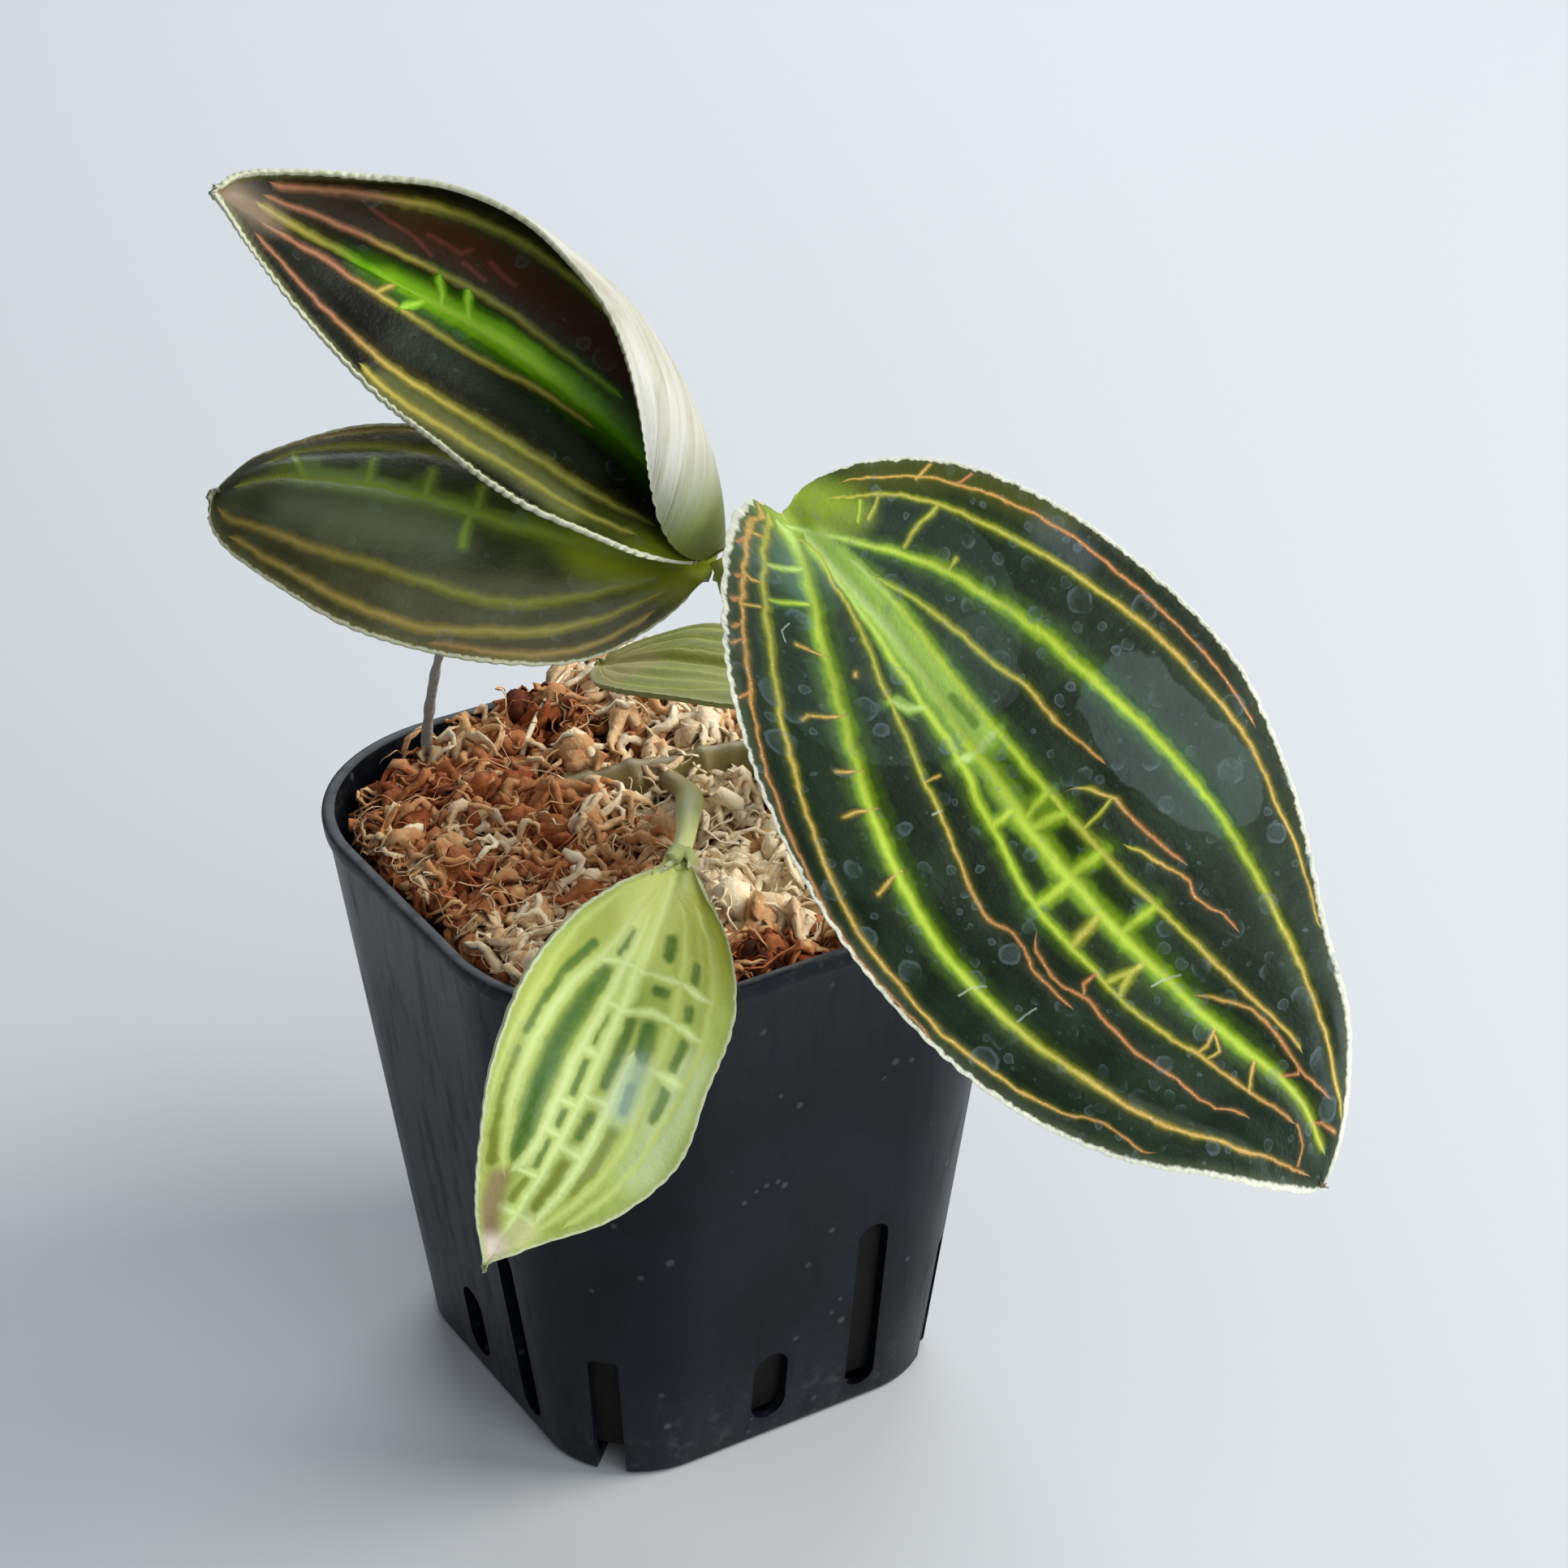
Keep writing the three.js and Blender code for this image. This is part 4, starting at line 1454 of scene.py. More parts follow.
@dataclass
class NurseryPot:
    """The square pot: a thin tapered wall with a stepped lip, slits, slots and drain holes."""

    height: float = 71.0
    top_half: float = 34.6
    base_half: float = 25.0
    top_corner: float = 21.5
    base_corner: float = 12.0
    wall: float = 1.3
    floor: float = 1.6
    sides: int = 176
    rings: Course = (
        (0.0, 0.7), (0.2, 0.2), (0.7, 0.0), (17.0, 0.0), (34.0, 0.0), (51.0, 0.0), (68.5, 0.0),
        (68.75, -0.1), (68.95, -0.32), (69.3, -0.4), (70.55, -0.4), (70.88, -0.26), (71.0, 0.05),
        (71.0, 0.85), (70.9, 1.15), (70.5, 1.3), (36.0, 1.3), (2.4, 1.3), (1.8, 1.5), (1.6, 2.0),
    )  # height, and how far inside the wall's outer face
    slit_width: float = 4.0
    slit_span: Point = (2.5, 28.0)
    slit_along: float = 10.0
    slot_width: float = 4.6
    slot_span: Point = (3.0, 13.0)
    slot_along: float = -2.7
    corner_width: float = 3.6
    corner_top: float = 18.0
    corner_depth: float = 7.0
    corner_rounding: float = 0.5
    drain_radius: float = 3.0
    drain_distance: float = 11.0
    smooth_to: float = 32.0
    finish: PlasticFinish = PlasticFinish()

    def outline(self, z: float, inset: float, sides: int) -> Rows:
        """Draws the wall's outline at a height, moved in by an inset.

        Args:
            z: The height.
            inset: How far it is moved in.
            sides: How many points it gets.

        Returns:
            The points.
        """
        half = self.base_half + (self.top_half - self.base_half) * z / self.height
        corner = self.base_corner + (self.top_corner - self.base_corner) * z / self.height
        return rounded_square(half - inset, corner - inset, sides)

    def build(self, shared: SharedEffects) -> None:
        """Builds the pot.

        Args:
            shared: The node groups.
        """
        pot, ring, turn = ring_stack("pot_shell", self.sides, len(self.rings))
        shape = [
            np.column_stack([self.outline(z, inset, self.sides), np.full(self.sides, z)])
            for z, inset in self.rings
        ]
        pot.data.vertices.foreach_set("co", (np.array(shape)[ring, turn] * MM).ravel())
        pot.data.update()
        self._pierce(pot)
        activate(pot)
        bpy.ops.object.shade_smooth_by_angle(angle=math.radians(self.smooth_to))
        pot.data.materials.clear()
        pot.data.materials.append(self.finish.material(shared))
        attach(pot, BODY)
        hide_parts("pot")
        report(pot)

    def _pierce(self, pot: Piece) -> None:
        """Cuts the slits, slots, corner slits and drain holes.

        Args:
            pot: The pot's object.
        """
        cutters = []
        for quarter in range(4):
            turn = quarter * math.pi / 2
            slit = self._slot(self.slit_width, self.slit_span, self.slit_along)
            slot = self._slot(self.slot_width, self.slot_span, self.slot_along)
            for item, angle in ((slit, turn), (slot, turn), (self._corner(), turn + math.pi / 4)):
                item.data.transform(Matrix.Rotation(angle, 4, "Z"))
                cutters.append(item)
            place = Matrix.Rotation(turn, 4, "Z") @ Vector((self.drain_distance * MM, 0, 0))
            deselect_all()
            bpy.ops.mesh.primitive_cylinder_add(
                vertices=28, radius=self.drain_radius * MM, depth=0.01, location=place
            )
            apply_place()
            cutters.append(bpy.context.object)
        activate(*cutters)
        bpy.ops.object.join()
        joined = bpy.context.object
        boolean = pot.modifiers.new("openings", "BOOLEAN")
        boolean.operation = "DIFFERENCE"
        boolean.solver = "EXACT"
        boolean.object = joined
        apply_modifiers(pot)
        bpy.data.objects.remove(joined)

    def _block(self, size: Place, place: Place, round_edges: float) -> Piece:
        """Makes a cutting block, with the edges along X rounded.

        Args:
            size: Its size.
            place: Its centre.
            round_edges: The radius of those edges.

        Returns:
            The block.
        """
        deselect_all()
        bpy.ops.mesh.primitive_cube_add(size=MM, location=[c * MM for c in place])
        block = bpy.context.object
        block.scale = size
        apply_place()
        edit("EDIT", "DESELECT")
        bpy.ops.object.mode_set(mode="OBJECT")
        for edge in block.data.edges:
            a, b = (block.data.vertices[v].co for v in edge.vertices)
            edge.select = abs(a.x - b.x) > 0.5 * size[0] * MM
        bpy.ops.object.mode_set(mode="EDIT")
        bpy.ops.mesh.select_mode(type="EDGE")
        bpy.ops.mesh.bevel(offset=round_edges * MM, segments=7, affect="EDGES")
        bpy.ops.object.mode_set(mode="OBJECT")
        return block

    def _slot(self, width: float, span: Point, along: float) -> Piece:
        """Makes the cutter of a slot with round ends through the wall that faces +X."""
        place = (self.base_half / 2 + self.top_half / 2, along, sum(span) / 2)
        return self._block((self.top_half, width, span[1] - span[0]), place, 0.496 * width)

    def _corner(self) -> Piece:
        """Makes the cutter of a slit up a corner, which runs out under the base."""
        reach = (self.base_half - self.base_corner) * math.sqrt(2) + self.base_corner
        place = (reach - self.corner_depth + self.top_half / 2, 0.0, 0.0)
        size = (self.top_half, self.corner_width, 2 * self.corner_top)
        return self._block(size, place, self.corner_rounding)


@dataclass(frozen=True)
class Heap:
    """A soft mound on the bed."""

    x: float
    y: float
    spread_x: float
    spread_y: float
    rise: float


@dataclass(frozen=True)
class Patch:
    """A bed patch of paler strands, or darker where tint is below zero: rust and painted shade."""

    x: float
    y: float
    reach: float
    tint: float


@dataclass(frozen=True)
class SingleStrand:
    """One strand that lies apart from the rest."""

    radius: float
    tint: float
    path: tuple[Place, ...]


@dataclass(frozen=True)
class StrandKind:
    """One size of strand and how it lies."""

    name: str
    count: int
    by_wall: int
    sides: int
    steps: int
    length: Point
    radius: Point
    flatness: Point
    arch: Point
    lift: Point
    curl: float
    tilt: float
    tint: float


STRAND_KINDS = (
    StrandKind(
        "medium_lumps", 480, 160, 6, 9, (3, 8), (0.9, 2.4), (0.3, 0.7), (0.2, 2.2), (-0.4, 2.2),
        curl=2.8, tilt=0.2, tint=0.36,
    ),
    StrandKind(
        "medium_strands", 1050, 320, 4, 9, (4, 11), (0.3, 1.0), (0.2, 0.5), (0, 2.4), (0.4, 3.4),
        curl=3.6, tilt=0.18, tint=0.46,
    ),
    StrandKind(
        "medium_fibres", 420, 60, 3, 9, (4, 12), (0.07, 0.18), (0.7, 1), (0, 2.6), (0.6, 4.0),
        curl=2.6, tilt=0.2, tint=0.5,
    ),
)
# low tints are dark rust: rust-coloured strands, and also the painted shade of low-lying strands
# and darker patches
STRAND_STOPS = (
    (0.05, (62, 28, 12)), (0.3, (142, 70, 32)), (0.5, (180, 116, 70)), (0.7, (210, 166, 116)),
    (0.95, (246, 228, 192)),
)
# the two darkest stops colour the painted shade in the gap by the wall
BED_STOPS = ((0.0, (16, 11, 9)), (0.1, (40, 18, 9)), (0.45, (98, 44, 16)), (0.8, (158, 92, 46)))
STALK_STOPS = ((0.4, (118, 116, 110)), (1.0, (168, 167, 163)))


@dataclass
class MediumBed:
    """The bed of moss and coir: a lumpy plug, and the curled strands that lie on it."""

    pot: NurseryPot
    level: float = 67.6
    edge_drop: float = 1.6
    gap: float = 0.3
    bottom: float = 1.9
    sides: int = 192
    crown_rings: int = 44
    heaps: tuple[Heap, ...] = (
        Heap(-27, 8, 14, 17, 5), Heap(-12, 15, 14, 13, 2.5), Heap(-30, -30, 10, 10, -3),
    )
    reach: float = 32.5
    shadow_band: Point = (0.86, 0.95)
    wall_band: float = 4.0
    wall_squeeze: float = 0.4
    wall_slim: float = 0.7
    wall_sink: float = 1.2
    corner_centre: float = 13.1
    corner_radius: float = 19.3
    # patches below zero darken the strands: some are rust-coloured moss, the others painted shade
    # under the shoot and along the wall
    patches: tuple[Patch, ...] = (
        Patch(-13, -14, 8, -0.14), Patch(-1, -17, 6, -0.14), Patch(2.5, -27, 5, -0.2),
        Patch(30, -5, 5, -0.45), Patch(-26, -3, 4, -0.3), Patch(-31, -26, 6, -0.3),
        Patch(-20, -23, 7, -0.22), Patch(-18, 4, 5, -0.08), Patch(20, 1, 7, 0.55),
        Patch(12, 3, 6, 0.4), Patch(4, 9, 6, 0.35), Patch(14, -27, 4, 0.4),
        Patch(-6, -21, 3, 0.3), Patch(-1, 3, 5, 0.3), Patch(-9, 10, 7, 0.25),
        Patch(-25, 6, 6, 0.25), Patch(-24, 15, 8, 0.25),
    )
    singles: tuple[SingleStrand, ...] = (
        SingleStrand(0.55, 0.95, (
            (-10, -6.5, 69), (-9, -3.8, 71.5), (-6.3, -2.6, 73), (-3.7, -4.2, 72.8),
            (-3.6, -7.2, 71.6), (-6, -8.8, 70.2), (-8, -8.6, 69),
        )),
        SingleStrand(0.42, 0.95, (
            (-19.5, -9, 70.5), (-21.8, -6, 73.5), (-24.5, -2, 75.8), (-27.5, 2.5, 76.6),
            (-29.5, 6, 75),
        )),
        SingleStrand(0.5, 0.7, (
            (-26.6, -13, 69.5), (-25.8, -10, 73), (-23.4, -8.8, 74), (-21.3, -10.8, 73),
            (-21.9, -13.4, 70),
        )),
        SingleStrand(1.3, 0.88, ((23.1, -3.4, 4.6), (23.4, -2.8, 7), (23.4, -2.3, 9.4))),
    )
    seed: int = 11

    def height(self, x: Rows, y: Rows) -> Rows:
        """Gives the bed's height at points.

        Args:
            x: Their places along X.
            y: Their places along Y.

        Returns:
            The heights.
        """
        heaped = sum(
            h.rise * np.exp(-(((x - h.x) / h.spread_x) ** 2) - ((y - h.y) / h.spread_y) ** 2)
            for h in self.heaps
        )
        lumps = 0.6 * np.sin(0.55 * x + 1.3) * np.cos(0.62 * y) + 0.4 * np.sin(0.9 * (x + y))
        return self.level + heaped + lumps

    def build(self, shared: SharedEffects) -> None:
        """Builds the bed and its strands.

        Args:
            shared: The node groups.
        """
        ground = FibreFinish("Packed fibre", BED_STOPS, grain_size=0.0007, bump=1.0)
        strands = FibreFinish("Curled strands", STRAND_STOPS)
        draw = np.random.default_rng(self.seed)
        pieces = [self._plug(), *(self._strands(draw, kind) for kind in STRAND_KINDS)]
        for piece in pieces:
            finish = ground if piece is pieces[0] else strands
            piece.data.materials.append(finish.material(shared))
            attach(piece, BODY)
            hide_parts("growing_medium")
            report(piece)

    def _plug(self) -> Piece:
        """Models the plug that fills the pot, with a lumpy crown.

        Returns:
            The plug's object.
        """
        inset = self.pot.wall + self.gap
        edge_z = self.level - self.edge_drop
        inner = self.pot.floor + self.bottom
        rows = [(0.1, self.bottom), (1.0, inner), (1.0, 30.0), (1.0, edge_z - 1)]
        rows += [(float(share), -1.0) for share in np.linspace(0.995, 0.02, self.crown_rings)]
        plug, ring, turn = ring_stack("medium_bed", self.sides, len(rows))
        shape = []
        for share, z in rows:
            is_crown = z < 0
            base = self.pot.outline(edge_z if is_crown else z, inset, self.sides) * share
            x, y = base.T
            if is_crown:
                z = self.height(x, y) - self.edge_drop * share**6
                z += np.array([0.9 * noise.noise((a * 0.5, b * 0.5, 0.0)) for a, b in base])
            shape.append(np.column_stack([x, y, np.broadcast_to(z, x.shape)]))
        plug.data.vertices.foreach_set("co", (np.array(shape)[ring, turn] * MM).ravel())
        plug.data.update()
        shade_smooth(plug)
        # painted shade: over the shadow band the crown darkens towards the wall so the gap reads
        # dark; below the crown the plug gets the darkest tint
        shares = np.array([share for share, _ in rows])[ring]
        crown_tint = np.interp(shares, self.shadow_band, (0.4, 0.02))
        is_high = vertex_places(plug)[:, 2] > (self.level - 5) * MM
        tint_piece(plug, np.where(is_high, crown_tint, -0.3))
        return plug

    def _inside(self, x: float, y: float, margin: float = 0.0) -> bool:
        """Tells whether a point lies within the pot's inner wall."""
        c = self.corner_centre
        return math.hypot(max(abs(x) - c, 0), max(abs(y) - c, 0)) < self.corner_radius - margin

    def _pale_patches_and_shade(self, x: float, y: float) -> float:
        """Tells how much paler strands are at a point, or darker (rust and painted shade)."""
        return sum(
            p.tint * math.exp(-((x - p.x) ** 2 + (y - p.y) ** 2) / p.reach**2) for p in self.patches
        )

    def _strands(self, draw: np.random.Generator, kind: StrandKind) -> Piece:
        """Bends and scatters the strands of one size, the last of them along the wall.

        Args:
            draw: The random numbers.
            kind: The size of strand.

        Returns:
            One object with all of them.
        """
        stock = TubeStock(kind.sides, kind.steps)
        bundle = Bundle()
        while len(bundle.vertices) < kind.count + kind.by_wall:
            x, y = draw.uniform(-self.reach - 1, self.reach + 1, 2)
            by_wall = len(bundle.vertices) >= kind.count
            if by_wall and self._inside(x, y, self.wall_band):
                continue
            path = self._path(draw, kind, x, y)
            squeeze = self.wall_squeeze if by_wall else 1.0
            if not all(self._inside(px, py, squeeze * kind.radius[1]) for px, py, _ in path):
                continue
            path[:, 2] -= self.wall_sink if by_wall else 0.0
            along = stock.along
            radius = draw.uniform(*kind.radius) * (0.35 + 0.65 * np.sin(np.pi * along) ** 0.5)
            radius *= 1 + 0.22 * np.sin(along * draw.uniform(6, 14) + draw.uniform(0, 6))
            radius *= self.wall_slim if by_wall else 1.0
            flatness = draw.uniform(*kind.flatness)
            places = stock.bend(path, radius, flatness, draw.uniform(-2.5, 2.5))
            # painted light and shade by height: strands lying low or sunk by the wall are darker,
            # raised ones paler
            painted_height_shading = 0.16 * (path[:, 2].mean() - self.height(path[:, 0], path[:, 1]).mean() - 1)
            tint = draw.normal(kind.tint, 0.13) + self._pale_patches_and_shade(x, y) + min(painted_height_shading, 0.25)
            bundle.add(stock, places, float(np.clip(tint, 0.02, 0.98)))
        if kind.name == "medium_strands":
            self._add_singles(bundle)
        return bundle.piece(kind.name)

    def _add_singles(self, bundle: Bundle) -> None:
        """Bends the strands that lie apart into a bundle.

        Args:
            bundle: The bundle.
        """
        stock = TubeStock(6, 26)
        taper = 0.5 + 0.5 * np.sin(np.pi * stock.along) ** 0.5
        for single in self.singles:
            path = smooth_path(single.path, stock.steps)
            bundle.add(stock, stock.bend(path, single.radius * taper, 0.6, 1.5), single.tint)

    def _path(self, draw: np.random.Generator, kind: StrandKind, x: float, y: float) -> Rows:
        """Draws one curled path that lies on the bed or arches over it.

        Args:
            draw: The random numbers.
            kind: The size of strand.
            x: Where its middle lies along X.
            y: Where its middle lies along Y.

        Returns:
            The path's points.
        """
        length = draw.uniform(*kind.length)
        heading = draw.uniform(0, 2 * math.pi)
        curl = draw.normal(0, kind.curl)
        along = np.linspace(-0.5, 0.5, kind.steps + 1)
        bend = heading + curl * along + 0.7 * np.sin(along * 9 + draw.uniform(0, 6))
        step = length / kind.steps
        px, py = np.cumsum(np.cos(bend)) * step, np.cumsum(np.sin(bend)) * step
        px += x - px.mean()
        py += y - py.mean()
        arch = draw.uniform(*kind.arch)
        tilt = draw.normal(0, kind.tilt)
        lift = draw.uniform(*kind.lift)
        z = self.height(px, py) + lift + arch * np.cos(np.pi * along) + tilt * length * along
        z += 0.25 * kind.radius[1] * np.sin(along * 17 + draw.uniform(0, 6))
        return np.column_stack([px, py, z])


# ---------------------------------------------------------------- shoot and stalks


@dataclass
class ShootParts:
    """The creeping shoot with its rings, the five leaf stalks and the roots."""

    shoot: tuple[tuple[float, float, float, float], ...] = (
        (-15, -18, 58, 1.5), (-13.5, -12.5, 67.5, 2.1), (-11, -7, 70.2, 2.4),
        (-9, -1.5, 71.3, 2.5), (-7, 3.7, 71.8, 2.4), (-3.5, 11, 73.2, 2.4),
        (3, 15.5, 76.5, 2.4), (12, 14.5, 82.5, 2.5), (19.5, 9.5, 88, 2.6),
        (24.5, 4.5, 94, 2.6), (27.3, -0.5, 101, 2.5), (28.3, -4.8, 108, 2.3),
        (27.8, -6.8, 112.5, 1.9),
    )  # place and radius
    stalks: tuple[tuple[Place, ...], ...] = (
        ((28.2, -5, 108.5), (28.9, -3, 113.5), (30.2, -1.3, 118.2), (31.8, -1.6, 121.7)),
        ((28, -6, 110.8), (27.3, -6.9, 113.7)),
        ((28.1, -4.6, 108.2), (27.4, -4.7, 111.6), (25.6, -5.2, 113.8)),
        ((-7.5, 3.3, 71.8), (-1, 2.4, 73.6), (7, -1.2, 77.6), (15, -6, 80.9), (21.5, -10.1, 82.6)),
        ((24.6, 4.6, 94), (23.7, 7.3, 93.5), (21.6, 8.6, 93.4)),
    )
    roots: tuple[tuple[Place, Place, Place], ...] = (
        ((-13, -11, 68.5), (-20, -16, 56), (-19, -8, 40)),
        ((-10.5, -5.5, 70), (-6, -11, 52), (-4, -12, 30)),
        ((-8, 1, 71), (-15, 3, 55), (-15, 8, 36)),
        ((-5.5, 7, 72), (1, 9, 50), (2, 8, 26)),
    )
    stalk_radius: Point = (1.7, 1.15)
    ring_gap: float = 8.5
    ring_swell: float = 0.45
    ring_width: float = 0.9
    ring_step: float = 0.16
    root_radius: Point = (1.1, 0.6)
    finish: StemFinish = StemFinish()

    def build(self, leaves: tuple[Leaf, ...], shared: SharedEffects) -> None:
        """Builds the shoot, the stalks and the roots as one piece.

        Args:
            leaves: The leaves, in the order of their stalks.
            shared: The node groups.
        """
        bundle = Bundle()
        self._add_shoot(bundle)
        stock = TubeStock(16, 40)
        along = stock.along
        for points, leaf in zip(self.stalks, leaves):
            route = smooth_path((*points, self._head(leaf)), stock.steps)
            thick = stock.tapered(self.stalk_radius) * (1 - 0.12 * np.sin(along * 9))
            is_low = leaf.node == "leaf_low_pale"
            paler = np.clip((along - 0.35) / 0.5, 0, 1) if is_low else 0 * along
            bundle.add(stock, stock.bend(route, thick, 0.92), -paler[stock.ring])
        stock = TubeStock(10, 30)
        thick = stock.tapered(self.root_radius)
        for points in self.roots:
            bundle.add(stock, stock.bend(smooth_path(points, stock.steps), thick), 0.5)
        shoot = bundle.piece("shoot")
        shoot.data.materials.append(self.finish.material(shared))
        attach(shoot, BODY)
        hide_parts("shoot_and_roots")
        report(shoot)

    def _add_shoot(self, bundle: Bundle) -> None:
        """Bends the shoot into a bundle, with a swell, a step and a crease at each ring.

        Args:
            bundle: The bundle.
        """
        stock = TubeStock(20, 190)
        knots = np.array(self.shoot)
        path = smooth_path(knots[:, :3], stock.steps)
        run = run_along(path)
        knot_run = [run[np.argmin(np.linalg.norm(path - k[:3], axis=1))] for k in knots]
        radius = np.interp(run, knot_run, knots[:, 3])
        phase = (run + self.ring_gap / 2) % self.ring_gap - self.ring_gap / 2
        step = self.ring_step / (1 + np.exp(-phase * 5)) - self.ring_step / 2
        radius += self.ring_swell * bell(phase / self.ring_width) + step
        crease = bell((phase + 0.15) / 0.35)
        bundle.add(stock, stock.bend(path, radius, 0.94), crease[stock.ring])

    @staticmethod
    def _head(leaf: Leaf) -> Place:
        """Gives the point where a leaf's stalk ends, for two leaves past the base and below it."""
        point, tangent, _, up = (value[0] for value in leaf.form.frames(np.zeros(1)))
        offsets = {"leaf_front_large": (1.4, 1.2), "leaf_low_pale": (3.2, 0.9)}
        onward, below = offsets.get(leaf.node, (-0.3, 0.0))
        return tuple(point + onward * tangent - below * up)


@dataclass
class DryStalk:
    """The dry flower stalk by the left edge."""

    path: tuple[Place, ...] = (
        (-30, -15.5, 61), (-29, -16, 70), (-26.5, -16.6, 77), (-22.5, -17, 86), (-20, -16.4, 91),
    )
    radius: Point = (1.0, 0.45)
    finish: FibreFinish = FibreFinish("Dry stalk", STALK_STOPS, bump=0.8)

    def build(self, shared: SharedEffects) -> None:
        """Builds the stalk.

        Args:
            shared: The node groups.
        """
        stock = TubeStock(12, 60)
        thick = stock.tapered(self.radius)
        thick *= 1 + 0.08 * np.sin(stock.along * 37) + 0.06 * np.sin(stock.along * 61)
        bundle = Bundle()
        places = stock.bend(smooth_path(self.path, stock.steps), thick, 0.8, 1.5)
        bundle.add(stock, places, 0.86)
        stalk = bundle.piece("stalk_dry")
        stalk.data.materials.append(self.finish.material(shared))
        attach(stalk, BODY)
        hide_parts("dry_stalk")
        report(stalk)


# ---------------------------------------------------------------- the five leaves

PALE, GREEN, OLIVE, GOLD, ORANGE = Ripe


def spread(course: Course, values: tuple[float, ...]) -> Course:
    """Spreads values evenly along a course, from its start to its end."""
    places = np.linspace(course[0][0], course[-1][0], len(values))
    return tuple((float(x), float(value)) for x, value in zip(places, values))


def vein(
    ripe: tuple[Ripe, ...], widths: tuple[float, ...], *course: Point, jagged: bool = False
) -> Vein:
    """Draws a vein whose ripeness and half width change evenly between the given values."""
    return Vein(course, spread(course, widths), spread(course, ripe), jagged)


def strokes(*rows: tuple[float | Ripe | Point, ...]) -> tuple[Stroke, ...]:
    """Draws strokes, each given as its radius, its ripeness and its points."""
    return tuple(Stroke(tuple(points), radius, ripe) for radius, ripe, *points in rows)


def wash(
    colour: Tone, strength: float, edge: Point, *rows: tuple[float | Point, ...], **settings: float
) -> Wash:
    """Lays a patch of colour along strokes, each given as its radius and its points."""
    parts = tuple(Stroke(tuple(points), radius) for radius, *points in rows)
    return Wash(parts, colour, strength, edge, **settings)


